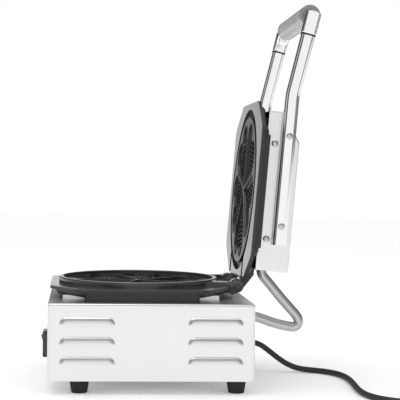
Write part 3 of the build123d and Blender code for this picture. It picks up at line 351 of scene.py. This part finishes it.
def darkened(graph, base, bloom):
    """Sheet or tube that heat has blued and browned."""
    bloom_grain, line_grain = 22.0, (60.0, 900.0, 900.0)
    smoothest, bloom_dulls, line_swing = 0.38, 0.16, 0.12
    bare_share = 0.85
    relief, depth = 0.08, 0.15 * MM
    blooms = graph.noise(bloom_grain, Graph.FINE)
    lines = graph.noise(line_grain, Graph.MEDIUM)
    return graph.shade(
        {
            "Base Color": graph.tint(blooms, base, bloom),
            "Metallic": bare_share,
            "Roughness": smoothest + blooms * bloom_dulls + graph.swing(lines, line_swing),
            "Normal": graph.bump(lines, relief, depth),
        }
    )


def coated_casting(graph, base, roughness, facing, level, middle):
    """Non-stick coating over a casting, rubbed smoother where the plates meet.

    facing is the way that the plate's land faces, level is how far along it the land lies, and
    middle is where the moulds' middle lies across it.
    """
    rub_start, rub_full = level - 1.0 * MM, level - 0.3 * MM
    moulds_end, land_start = 92 * MM, 97 * MM
    between_moulds = 0.30
    least_coat = 0.75
    coat_roughness = 0.12
    palest = scaled(base, 1.9)
    patch_swing, grain_swing = 0.22, 0.10
    relief, depth = 0.30, 0.25 * MM
    speck_grain, patch_grain = 620.0, 34.0
    grain = graph.noise(speck_grain, Graph.FINE)
    patches = graph.noise(patch_grain, Graph.MEDIUM)
    outwards = graph.place("Y") * facing[1] + graph.place("Z") * facing[2]
    along = graph.place("Y") * facing[2] - graph.place("Z") * facing[1] - middle
    apart = graph.maths("SQRT", graph.place("X") * graph.place("X") + along * along)
    on_land = between_moulds + (1 - between_moulds) * graph.ramp(apart, moulds_end, land_start)
    rubbed = graph.ramp(outwards, rub_start, rub_full) * on_land
    return graph.shade(
        {
            "Base Color": graph.tint(patches, base, palest),
            "Roughness": roughness + graph.swing(patches, patch_swing) + graph.swing(grain, grain_swing),
            "Coat Weight": rubbed * (least_coat + patches * (1 - least_coat)),
            "Coat Roughness": coat_roughness,
            "Normal": graph.bump(grain, relief, depth),
        }
    )


def rubber(graph, base):
    """Moulded rubber with fine pores and a trace of dust."""
    dustiest = scaled(base, 1.9)
    pore_grain, dust_grain = 1100.0, 46.0
    cleanest, dust_dulls, pore_swing = 0.52, 0.16, 0.10
    relief, depth = 0.18, 0.12 * MM
    pores = graph.noise(pore_grain, Graph.MEDIUM)
    dust = graph.noise(dust_grain, Graph.MEDIUM)
    return graph.shade(
        {
            "Base Color": graph.tint(dust, base, dustiest),
            "Roughness": cleanest + dust * dust_dulls + graph.swing(pores, pore_swing),
            "Normal": graph.bump(pores, relief, depth),
        }
    )


def moulded(graph, base, roughness, grain, coat):
    """Moulded plastic with a spark-eroded or polished skin."""
    palest = scaled(base, 1.35)
    flow_grain = (30.0, 30.0, 12.0)
    skin_swing = 0.14
    relief, depth = 0.12, 0.1 * MM
    skin = graph.noise(grain, Graph.MEDIUM)
    flow = graph.noise(flow_grain, Graph.COARSE)
    return graph.shade(
        {
            "Base Color": graph.tint(flow, base, palest),
            "Roughness": roughness + graph.swing(skin, skin_swing),
            "Coat Weight": coat,
            "Normal": graph.bump(skin, relief, depth),
        }
    )


def casing_finish(settings, name, grain, turn=(0.0, 0.0, 0.0)):
    """Brushed sheet whose lines run the way that the piece was cut."""
    return finish(name, brushed, settings.casing_colour, settings.casing_roughness, grain, turn)


def plated_finish(settings):
    """The plating that most fasteners share."""
    return finish("plated_steel", plated, settings.plated_colour, settings.plated_roughness)


def dress(material, *names):
    """Give CAD nodes a material."""
    for name in names:
        data = NODES[name].data
        data.materials.clear()
        data.materials.append(material)


def middle_of(name):
    """The middle of a CAD node's box."""
    low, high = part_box(name)
    return (Vector(low) + Vector(high)) / 2


def add_object(name, data):
    """Put new data into the scene."""
    made = bpy.data.objects.new(name, data)
    bpy.context.scene.collection.objects.link(made)
    return made


def add_form(name, form, material=None):
    """Put a bmesh into the scene and let go of it."""
    mesh = bpy.data.meshes.new(name)
    form.to_mesh(mesh)
    form.free()
    if material:
        mesh.materials.append(material)
    return add_object(name, mesh)


LINE_STEPS = 8
ROUND_STEPS = 6


def in_metres(points):
    """Points in millimetres made metres."""
    return [tuple(value * MM for value in point) for point in points]


def smooth_line(name, points, radius):
    """A round tube on a smooth curve that the points steer."""
    curve = bpy.data.curves.new(name, "CURVE")
    curve.dimensions = "3D"
    line = curve.splines.new("NURBS")
    line.points.add(len(points) - 1)
    for point, place in zip(line.points, in_metres(points)):
        point.co = (*place, 1.0)
    line.order_u = 3
    line.use_endpoint_u = True
    line.resolution_u = LINE_STEPS
    curve.bevel_depth = radius
    curve.bevel_resolution = ROUND_STEPS
    curve.use_fill_caps = True
    return add_object(name, curve)


def as_mesh(made, name):
    """Turn a curve into a mesh piece."""
    view = bpy.context.evaluated_depsgraph_get()
    mesh = bpy.data.meshes.new_from_object(made.evaluated_get(view))
    bpy.data.objects.remove(made)
    mesh.shade_smooth()
    return add_object(name, mesh)


def turned(name, outline, sides):
    """A form turned about Z from radii and heights, closed at both ends on the axis."""
    form = bmesh.new()
    rings = []
    for radius, height in outline:
        if radius == 0:
            rings.append([form.verts.new((0, 0, height))])
            continue
        ring = []
        for side in range(sides):
            turn = 2 * math.pi * side / sides
            ring.append(form.verts.new((radius * math.cos(turn), radius * math.sin(turn), height)))
        rings.append(ring)
    for lower, upper in zip(rings, rings[1:]):
        for side in range(sides):
            after = (side + 1) % sides
            if len(lower) == 1:
                form.faces.new((lower[0], upper[side], upper[after]))
            elif len(upper) == 1:
                form.faces.new((lower[side], upper[0], lower[after]))
            else:
                form.faces.new((lower[side], upper[side], upper[after], lower[after]))
    bmesh.ops.recalc_face_normals(form, faces=form.faces)
    return add_form(name, form)


def add_bar(form, sizes, centre):
    """Put a plain bar into a form."""
    corners = bmesh.ops.create_cube(form, size=1.0)["verts"]
    bmesh.ops.scale(form, vec=sizes, verts=corners)
    bmesh.ops.translate(form, vec=centre, verts=corners)


def carved(solid, bars):
    """A mesh of a solid with bars, as sizes and centres, cut out of it."""
    tools = []
    for sizes, centre in bars:
        form = bmesh.new()
        add_bar(form, sizes, centre)
        tools.append(add_form("cutter", form))
    for tool in tools:
        cut = solid.modifiers.new("recess", "BOOLEAN")
        cut.operation = "DIFFERENCE"
        cut.object = tool
    view = bpy.context.evaluated_depsgraph_get()
    result = bpy.data.meshes.new_from_object(solid.evaluated_get(view))
    for helper in (solid, *tools):
        bpy.data.objects.remove(helper)
    return result


WELD = 0.01 * MM


def islands(name):
    """The lowest and highest corner of each separate solid in a CAD node."""
    form = bmesh.new()
    form.from_mesh(NODES[name].data)
    bmesh.ops.remove_doubles(form, verts=form.verts, dist=WELD)
    left = set(form.verts)
    found = []
    while left:
        group = [left.pop()]
        for vert in group:
            for edge in vert.link_edges:
                other = edge.other_vert(vert)
                if other in left:
                    left.remove(other)
                    group.append(other)
        spots = [vert.co.copy() for vert in group]
        low = Vector([min(spot[axis] for spot in spots) for axis in range(3)])
        high = Vector([max(spot[axis] for spot in spots) for axis in range(3)])
        found.append((low, high))
    form.free()
    return found


# Fasteners: the head's radius and height, the shank's radius, the recess's length over the head's
# radius, its width, and whether it is a cross
PIN_HEAD = {
    "head": 3.6 * MM,
    "height": 1.2 * MM,
    "shank": 2.5 * MM,
    "reach": 2.2,
    "width": 0.9 * MM,
    "cross": False,
}
SCREW_HEAD = {
    "head": 4.0 * MM,
    "height": 2.2 * MM,
    "shank": 2.0 * MM,
    "reach": 1.25,
    "width": 1.0 * MM,
    "cross": True,
}
BOLT_HEAD = {
    "head": 4.0 * MM,
    "height": 1.4 * MM,
    "shank": 2.5 * MM,
    "reach": 1.1,
    "width": 1.1 * MM,
    "cross": True,
}
HEAD_SIDES = 32
DOME_STEPS = 6
RIM_SHARE = 0.3


def dome(head, height):
    """Radii and heights of a domed head over its straight rim."""
    turns = [math.pi / 2 * step / DOME_STEPS for step in range(DOME_STEPS)]
    rises = [height * (RIM_SHARE + (1 - RIM_SHARE) * math.sin(turn)) for turn in turns]
    return [(head * math.cos(turn), rise) for turn, rise in zip(turns, rises)]


def side_fasteners(name, body, material, head, height, shank, reach, width, cross):
    """Fasteners along X in place of a CAD node's, with domed heads and a slot or a cross in them."""
    bars = [((head * reach, width, height), (0, 0, height))]
    if cross:
        bars.append(((width, head * reach, height), (0, 0, height)))
    whole = bmesh.new()
    for low, high in islands(name):
        middle = (low + high) / 2
        side = 1 if middle.x > 0 else -1
        foot = height - (high.x - low.x)
        outline = [(0, foot), (shank, foot), (shank, 0), (head, 0), *dome(head, height), (0, height)]
        mesh = carved(turned("fastener", outline, HEAD_SIDES), bars)
        outer = high.x if side > 0 else low.x
        place = Matrix.Translation((outer - side * height, middle.y, middle.z))
        mesh.transform(place @ Matrix.Rotation(side * math.pi / 2, 4, "Y"))
        whole.from_mesh(mesh)
        bpy.data.meshes.remove(mesh)
    made = add_form(name + "_detailed", whole, material)
    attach(made, body)
    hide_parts(name)
    return made


# Soft lamps: where they stand, how wide they are and their power
LAMPS = {
    "overhead_lamp": ((0.4, -0.4, 1.8), 0.9, 5.0),
    "side_lamp": ((1.2, 1.6, 1.0), 1.5, 1.4),
    "front_lamp": ((0.5, -1.7, 0.9), 1.5, 2.4),
}
# How far along its axis a direction points where each soft panel starts and where it is full
NEAR_PANEL = (0.84, 0.965)
FAR_PANEL = (0.978, 0.990)
END_PANELS = (0.90, 0.98)
TOP_PANEL = (0.62, 0.90)


class WAFFLE_OT_stage(bpy.types.Operator):
    """Make the camera, the lamps, the white surroundings and the floor"""

    bl_idname = "waffle.stage"
    bl_label = "Stage"

    def execute(self, context):
        settings = context.scene.waffle_stage
        self.camera(context, settings)
        context.scene.view_settings.view_transform = "Standard"
        self.surroundings(context, settings)
        self.floor(settings)
        low, high = CAD_BOX
        target = (low + high) / 2
        for name, (place, size, power) in LAMPS.items():
            self.lamp(name, Vector(place), target, size, power)
        return {"FINISHED"}

    def camera(self, context, settings):
        """A camera that looks at the machine's right-hand side, a little towards its rear."""
        camera = bpy.data.cameras.new("camera")
        camera.lens = settings.lens
        camera.sensor_width = settings.sensor_width
        camera.shift_x = settings.shift_x
        camera.shift_y = settings.shift_y
        holder = add_object("camera", camera)
        holder.location = settings.camera_place
        quarter = math.pi / 2
        holder.rotation_euler = (quarter, -settings.camera_roll, quarter - settings.camera_yaw)
        context.scene.camera = holder

    def lamp(self, name, place, target, size, power):
        """A soft lamp aimed at a place."""
        data = bpy.data.lights.new(name, "AREA")
        data.size = size
        data.energy = power
        lamp = add_object(name, data)
        lamp.location = place
        lamp.rotation_euler = (target - place).to_track_quat("-Z", "Y").to_euler()

    def surroundings(self, context, settings):
        """White for the camera, soft panels for reflections and an even fill for the rest."""
        world = bpy.data.worlds.new("surroundings")
        context.scene.world = world
        graph = Graph(world)
        way = graph.node("ShaderNodeTexCoord", output="Generated")
        across = graph.part(way, "X")
        ends = graph.maths("ABSOLUTE", graph.part(way, "Y"))
        lit = graph.greatest(
            graph.ramp(across, *NEAR_PANEL),
            graph.ramp(-1 * across, *FAR_PANEL),
            graph.ramp(graph.part(way, "Z"), *TOP_PANEL),
            graph.ramp(ends, *END_PANELS) * settings.end_light,
        )
        panels = settings.gap_light + lit * (1 - settings.gap_light)
        plain = graph.ray("Is Camera Ray") + graph.ray("Is Transmission Ray")
        glossy = graph.ray("Is Glossy Ray")
        strength = plain + glossy * panels + (1 - plain - glossy) * settings.fill_level
        background = graph.tree.nodes["Background"]
        graph.feed(background.inputs["Color"], (1.0, 1.0, 1.0, 1.0))
        graph.feed(background.inputs["Strength"], strength)

    def floor(self, settings):
        """A pale floor that keeps the object's shadow."""
        half = settings.floor_half
        form = bmesh.new()
        corners = ((-half, -half), (half, -half), (half, half), (-half, half))
        form.faces.new([form.verts.new((x, y, 0)) for x, y in corners])
        graph = Graph(bpy.data.materials.new("floor_paint"))
        seen = graph.ray("Is Camera Ray") + graph.ray("Is Glossy Ray")
        lift = (settings.floor_lift,) * 3
        paint = graph.shade(
            {
                "Base Color": (*settings.floor_colour, 1.0),
                "Roughness": settings.floor_roughness,
                "Emission Color": graph.tint(seen, (0.0, 0.0, 0.0), lift),
                "Emission Strength": 1.0,
            }
        )
        add_form("floor", form, paint)


# Route of the supply cord from its gland, in millimetres
CORD_START = [
    (-45.0, 98.0, 38.0),
    (-45.0, 107.0, 38.0),
    (-44.6, 117.5, 34.3),
    (-43.6, 127.5, 27.0),
    (-41.8, 139.5, 17.6),
    (-39.2, 152.0, 9.4),
    (-35.6, 166.0, 4.6),
    (-30.2, 181.5, 3.7),
    (-20.5, 196.8, 3.7),
    (-5.5, 208.4, 3.7),
    (14.5, 214.6, 3.7),
    (38.0, 216.2, 3.7),
    (66.0, 214.8, 3.7),
    (95.0, 212.0, 3.7),
    (122.0, 210.6, 3.7),
    (146.0, 212.2, 3.7),
    (168.0, 220.0, 3.7),
    (184.0, 234.5, 3.7),
    (192.4, 252.5, 3.7),
    (196.0, 272.0, 3.7),
    (195.6, 293.0, 3.7),
]
CORD_END = [
    (120.0, 357.4, 14.0),
    (106.0, 357.2, 17.5),
    (99.0, 357.2, 18.6),
    (91.0, 357.2, 18.6),
]

# The coil of the cord, in millimetres and in half turns
COIL_CENTRE = (148.0, 313.0)
COIL_FLOOR = 3.7
COIL_CLIMB = 4.0
COIL_LAST = 8.5
COIL_STEPS = 10
CORNER_LOSS = 0.67


def coil_points(outer, pitch):
    """The coil's turns: in on the floor, up a layer where the spiral turns round, and out again."""
    middle = COIL_CLIMB + 0.5
    reach = 1 / math.cos(math.pi / (2 * COIL_STEPS)) ** CORNER_LOSS
    points = []
    for step in range(int(COIL_LAST * COIL_STEPS) + 1):
        half_turns = step / COIL_STEPS
        radius = (outer - pitch / 2 * (middle - abs(half_turns - middle))) * reach
        lift = pitch * min(max(half_turns - COIL_CLIMB, 0), 1)
        turn = math.pi * half_turns
        x = COIL_CENTRE[0] + radius * math.cos(turn)
        y = COIL_CENTRE[1] + radius * math.sin(turn)
        points.append((x, y, COIL_FLOOR + lift))
    return points


class WAFFLE_OT_supply_cord(bpy.types.Operator):
    """Lay the supply cord with its coil, and finish its gland and plug"""

    bl_idname = "waffle.supply_cord"
    bl_label = "Supply cord"

    def execute(self, context):
        settings = context.scene.waffle_cords
        coil = coil_points(settings.coil_outer / MM, settings.coil_pitch / MM)
        cord = smooth_line("supply_cord", CORD_START + coil + CORD_END, settings.cord_diameter / 2)
        sheath = finish("cord_sheath", rubber, settings.sheath_colour)
        cord.data.materials.append(sheath)
        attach(cord, "base")
        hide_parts("power_cord", "cord_coil", "plug_lead")
        dress(sheath, "plug_body", "cord_gland")
        dress(finish("plug_pin_plating", plated, settings.pin_colour, roughness=0.24), "plug_pins")
        in_metres(CORD_START)[0]
        return {"FINISHED"}


# Route of the conduit from the lid to the base's rear, in millimetres
CONDUIT_ROUTE = [
    (0.0, 109.7, 138.6),
    (0.0, 109.1, 131.4),
    (0.0, 119.4, 120.4),
    (0.0, 130.0, 107.2),
    (0.0, 141.5, 94.0),
    (0.0, 161.0, 73.2),
    (0.0, 155.4, 62.8),
    (0.0, 140.6, 65.3),
    (0.0, 125.5, 69.0),
    (0.0, 110.5, 74.4),
    (0.0, 101.6, 77.2),
    (0.0, 94.6, 77.2),
]


class WAFFLE_OT_conduit(bpy.types.Operator):
    """Bend the conduit between the base and the lid"""

    bl_idname = "waffle.conduit"
    bl_label = "Conduit"

    def execute(self, context):
        settings = context.scene.waffle_cords
        line = smooth_line("conduit_line", CONDUIT_ROUTE, settings.conduit_diameter / 2)
        tube = as_mesh(line, "bent_conduit")
        tube.data.materials.clear()
        metal = finish(
            "conduit_steel",
            brushed,
            settings.conduit_colour,
            settings.conduit_roughness,
            grain=(900.0, 500.0, 500.0),
        )
        tube.data.materials.append(metal)
        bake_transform(tube)
        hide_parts("flexible_conduit")
        dress(plated_finish(context.scene.waffle_steel), "base_conduit_gland", "lid_conduit_gland")
        return {"FINISHED"}


# The louvre columns' reach from the wrapper's middle, and how much further out they stand
LOUVRE_START = 20 * MM
LOUVRE_END = 105 * MM
LOUVRE_SHIFT = 10 * MM


class WAFFLE_OT_casing(bpy.types.Operator):
    """Finish the base's sheet metal and its fixings"""

    bl_idname = "waffle.casing"
    bl_label = "Base casing"

    def execute(self, context):
        steel = context.scene.waffle_steel
        shell = self.shell(casing_finish(steel, "wrapper_steel", (900.0, 7.0, 900.0)))
        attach(shell, "base")
        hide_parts("base_shell")
        dress(casing_finish(steel, "panel_steel", (7.0, 900.0, 900.0)), "front_panel", "rear_panel")
        dress(casing_finish(steel, "bottom_steel", (5.0, 700.0, 700.0)), "bottom_plate")
        dress(plated_finish(steel), "bottom_screws")
        return {"FINISHED"}

    def shell(self, material):
        """The wrapper with its louvre columns as far apart as in the photograph."""
        mesh = NODES["base_shell"].data.copy()
        middle = middle_of("base_shell").y
        for vert in mesh.vertices:
            reach = vert.co.y - middle
            if LOUVRE_START < abs(reach) < LOUVRE_END:
                vert.co.y += math.copysign(LOUVRE_SHIFT, reach)
        mesh.materials.clear()
        mesh.materials.append(material)
        return add_object("base_wrapper", mesh)


class WAFFLE_OT_feet(bpy.types.Operator):
    """Finish the rubber feet and what holds them"""

    bl_idname = "waffle.feet"
    bl_label = "Feet"

    def execute(self, context):
        dress(finish("foot_rubber", rubber, context.scene.waffle_moulded.rubber_colour), "rubber_feet")
        dress(plated_finish(context.scene.waffle_steel), "foot_screws", "foot_nuts")
        return {"FINISHED"}


# How far each plate's land lies from the hinge's axis, and the moulds' middle from it
LOWER_LAND_RISE = 1.0 * MM
UPPER_LAND_RISE = 4.0 * MM
MOULD_REACH = 119.3 * MM


class WAFFLE_OT_plates(bpy.types.Operator):
    """Finish the two cast plates and the hinge pins"""

    bl_idname = "waffle.plates"
    bl_label = "Cast plates"

    def execute(self, context):
        lid_facing = Vector((0, -math.cos(LID_LEAN), math.sin(LID_LEAN)))
        self.coat(context, "lower_plate", Vector((0, 0, 1)), LOWER_LAND_RISE, -MOULD_REACH)
        self.coat(context, "upper_plate", lid_facing, -UPPER_LAND_RISE, MOULD_REACH)
        steel = context.scene.waffle_steel
        black = finish("blackened_steel", plated, steel.blackened_colour, roughness=0.36)
        pins = side_fasteners("hinge_pins", "base", black, **PIN_HEAD)
        return {"FINISHED"}

    def coat(self, context, name, facing, rise, reach):
        """Coat a plate by the way it faces, its land's rise and its moulds' reach from the hinge."""
        settings = context.scene.waffle_moulded
        across = Vector((0, facing.z, -facing.y))
        level = facing.dot(HINGE) + rise
        middle = across.dot(HINGE) + reach
        colours = (settings.cast_colour, settings.cast_roughness)
        dress(finish(name, coated_casting, *colours, facing, level, middle), name)


# Where the rails' tabs start and end, from the moulds' middle, and their sheet
TAB_START = 68.5 * MM
TAB_END = 93.9 * MM
TAB_SHEET = 1.0 * MM
TAB_ROUND = 0.3 * MM


class WAFFLE_OT_heating(bpy.types.Operator):
    """Finish the heater covers, the elements and the parts inside the base"""

    bl_idname = "waffle.heating"
    bl_label = "Heating"

    def execute(self, context):
        steel = context.scene.waffle_steel
        sheet = finish("heat_darkened_sheet", darkened, steel.darkened_colour, steel.darkened_bloom)
        dress(sheet, "lower_heater_cover", "upper_heater_cover")
        sheath = finish("oxidised_sheath", darkened, steel.sheath_tint, steel.sheath_bloom)
        dress(sheath, "lower_heating_element", "upper_heating_element")
        dress(plated_finish(steel), "plate_studs", "stud_nuts")
        rail_steel = casing_finish(steel, "rail_steel", (7.0, 700.0, 700.0))
        dress(rail_steel, "plate_rails", "lid_brackets")
        tabs = self.rail_tabs(rail_steel)
        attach(tabs, "base")
        tint = context.scene.waffle_moulded.insulator_colour
        insulator = finish("insulator", moulded, tint, roughness=0.46, grain=500.0, coat=0.0)
        dress(insulator, "thermostat", "terminal_block")
        return {"FINISHED"}

    def rail_tabs(self, material):
        """Folded tabs that close the ends of the channels under the plate."""
        form = bmesh.new()
        low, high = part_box("plate_rails")
        middle = HINGE.y - MOULD_REACH
        sizes = (TAB_SHEET, TAB_END - TAB_START, high[2] - low[2])
        for side in (-1, 1):
            for end in (-1, 1):
                x = side * (high[0] + TAB_SHEET / 2)
                y = middle + end * (TAB_START + TAB_END) / 2
                add_bar(form, sizes, (x, y, (high[2] + low[2]) / 2))
        bmesh.ops.bevel(form, geom=form.edges[:], offset=TAB_ROUND, segments=2, affect="EDGES")
        return add_form("rail_tabs", form, material)


class WAFFLE_OT_lid(bpy.types.Operator):
    """Finish the lid's cover and its screws"""

    bl_idname = "waffle.lid"
    bl_label = "Lid cover"

    def execute(self, context):
        steel = context.scene.waffle_steel
        lean = (-LID_LEAN, 0.0, 0.0)
        dress(casing_finish(steel, "lid_steel", (900.0, 900.0, 7.0), lean), "lid_cover")
        screws = side_fasteners("lid_cover_screws", "lid", plated_finish(steel), **SCREW_HEAD)
        return {"FINISHED"}


# The handle's arms and the sleeves round their upper ends, in millimetres
ARM_LEAN = LID_LEAN + math.radians(9.4)
ARM_X = 106.75
ARM_THICKNESS = 11.5
ARM_WIDTH = 16.5
SLEEVE_CORNER = 3.2
CORNER_STEPS = 4
# Rings of each piece: how far below the grip they lie, and how far they stand off the arm
SLEEVE_RINGS = ((-1.0, -2.0), (0.2, -0.4), (1.8, 0.6), (26.2, 0.6), (27.0, 0.2))
# The rings below the sleeves are painted shadow: a thin black ring round the arm where the gap under
# each sleeve's lower edge is shaded
SHADOW_BAND_RINGS = ((26.9, 0.1), (27.3, 0.5), (28.8, 0.5), (29.2, 0.1))


class WAFFLE_OT_handle(bpy.types.Operator):
    """Finish the handle's tube, its bolts and its grip, and clasp its arms"""

    bl_idname = "waffle.handle"
    bl_label = "Handle"

    def execute(self, context):
        steel = context.scene.waffle_steel
        settings = context.scene.waffle_moulded
        colours = (steel.tube_colour, steel.tube_roughness)
        tube = finish("polished_tube", brushed, *colours, grain=(40.0, 40.0, 8.0), relief=0.0)
        dress(tube, "handle_frame")
        bolts = side_fasteners("handle_bolts", "lid", plated_finish(steel), **BOLT_HEAD)
        dress(plated_finish(steel), "handle_nuts")
        self.clasps("arm_sleeves", SLEEVE_RINGS, tube, "tube_steel")
        # Painted shadow: black rings under the sleeves stand in for the shade of the gap below each
        # sleeve's lower edge
        shadow_band = finish("shadow_band_rubber", rubber, settings.shadow_band_colour)
        self.clasps("sleeve_shadow_bands", SHADOW_BAND_RINGS, shadow_band, "grip_black")
        sleeve = {"roughness": 0.36, "grain": 600.0, "coat": 0.25}
        dress(finish("grip_sleeve", moulded, settings.grip_colour, **sleeve), "handle_grip")
        cap = {"roughness": 0.34, "grain": 700.0, "coat": 0.3}
        dress(finish("grip_caps", moulded, settings.cap_colour, **cap), "grip_end_caps")
        return {"FINISHED"}

    def clasps(self, name, levels, material, slot):
        """A piece round the upper end of each arm, from rings that follow the arm down."""
        form = bmesh.new()
        grip = middle_of("handle_grip")
        down = Vector((0, -math.sin(ARM_LEAN), -math.cos(ARM_LEAN)))
        out = Vector((0, -down.z, down.y))
        for side in (-1, 1):
            top = Vector((side * ARM_X * MM, grip.y, grip.z))
            rings = []
            for reach, stand_off in levels:
                centre = top + down * reach * MM
                spots = self.outline(stand_off)
                rings.append([form.verts.new(centre + Vector((x, 0, 0)) + out * y) for x, y in spots])
            for first, second in zip(rings, rings[1:]):
                for index, vert in enumerate(first):
                    after = (index + 1) % len(first)
                    form.faces.new((vert, first[after], second[after], second[index]))
            form.faces.new(rings[0])
            form.faces.new(rings[-1])
        bmesh.ops.recalc_face_normals(form, faces=form.faces)
        made = add_form(name, form, material)
        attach(made, "lid")

    def outline(self, stand_off):
        """An arm's rounded outline, grown a little, across it and along its width, in metres."""
        half_across = ARM_THICKNESS / 2 + stand_off
        half_out = ARM_WIDTH / 2 + stand_off
        corner = min(SLEEVE_CORNER, half_across)
        spots = []
        for quarter, (right, front) in enumerate(((1, 1), (-1, 1), (-1, -1), (1, -1))):
            for step in range(CORNER_STEPS + 1):
                turn = math.pi / 2 * (quarter + step / CORNER_STEPS)
                x = right * (half_across - corner) + corner * math.cos(turn)
                y = front * (half_out - corner) + corner * math.sin(turn)
                spots.append((x * MM, y * MM))
        return spots


class WAFFLE_OT_switch(bpy.types.Operator):
    """Finish the rocker switch and the lamps"""

    bl_idname = "waffle.switch"
    bl_label = "Switch and lamps"

    def execute(self, context):
        settings = context.scene.waffle_moulded
        plastic = finish(
            "switch_plastic", moulded, settings.plastic_colour, roughness=0.28, grain=420.0, coat=0.25
        )
        dress(plastic, "switch_housing", "rocker", "indicator_lamps")
        lens = finish("lamp_lens", moulded, settings.lens_colour, roughness=0.14, grain=160.0, coat=0.8)
        dress(lens, "lamp_lenses")
        return {"FINISHED"}


class WAFFLE_PT_panel(bpy.types.Panel):
    """Lists the waffle maker's steps"""

    bl_label = "Waffle maker"
    bl_idname = "WAFFLE_PT_panel"
    bl_space_type = "VIEW_3D"
    bl_region_type = "UI"
    bl_category = "Waffle maker"

    def draw(self, context):
        for step in STEPS:
            self.layout.operator(step.bl_idname)


STEPS = (
    WAFFLE_OT_stage,
    WAFFLE_OT_supply_cord,
    WAFFLE_OT_conduit,
    WAFFLE_OT_casing,
    WAFFLE_OT_feet,
    WAFFLE_OT_plates,
    WAFFLE_OT_heating,
    WAFFLE_OT_lid,
    WAFFLE_OT_handle,
    WAFFLE_OT_switch,
)
SETTINGS = {
    "waffle_stage": StageSettings,
    "waffle_cords": CordSettings,
    "waffle_steel": SteelSettings,
    "waffle_moulded": MouldedSettings,
}


def register():
    """Register the settings, the steps and the panel."""
    for name, group in SETTINGS.items():
        bpy.utils.register_class(group)
        setattr(bpy.types.Scene, name, bpy.props.PointerProperty(type=group))
    for step in STEPS:
        bpy.utils.register_class(step)
    bpy.utils.register_class(WAFFLE_PT_panel)


def unregister():
    """Take out what register put in."""
    bpy.utils.unregister_class(WAFFLE_PT_panel)
    for step in reversed(STEPS):
        bpy.utils.unregister_class(step)
    for name, group in reversed(SETTINGS.items()):
        delattr(bpy.types.Scene, name)
        bpy.utils.unregister_class(group)


def main():
    """Run every step."""
    register()
    for step in STEPS:
        family, action = step.bl_idname.split(".")
        getattr(getattr(bpy.ops, family), action)()


if __name__ == "__main__":
    main()
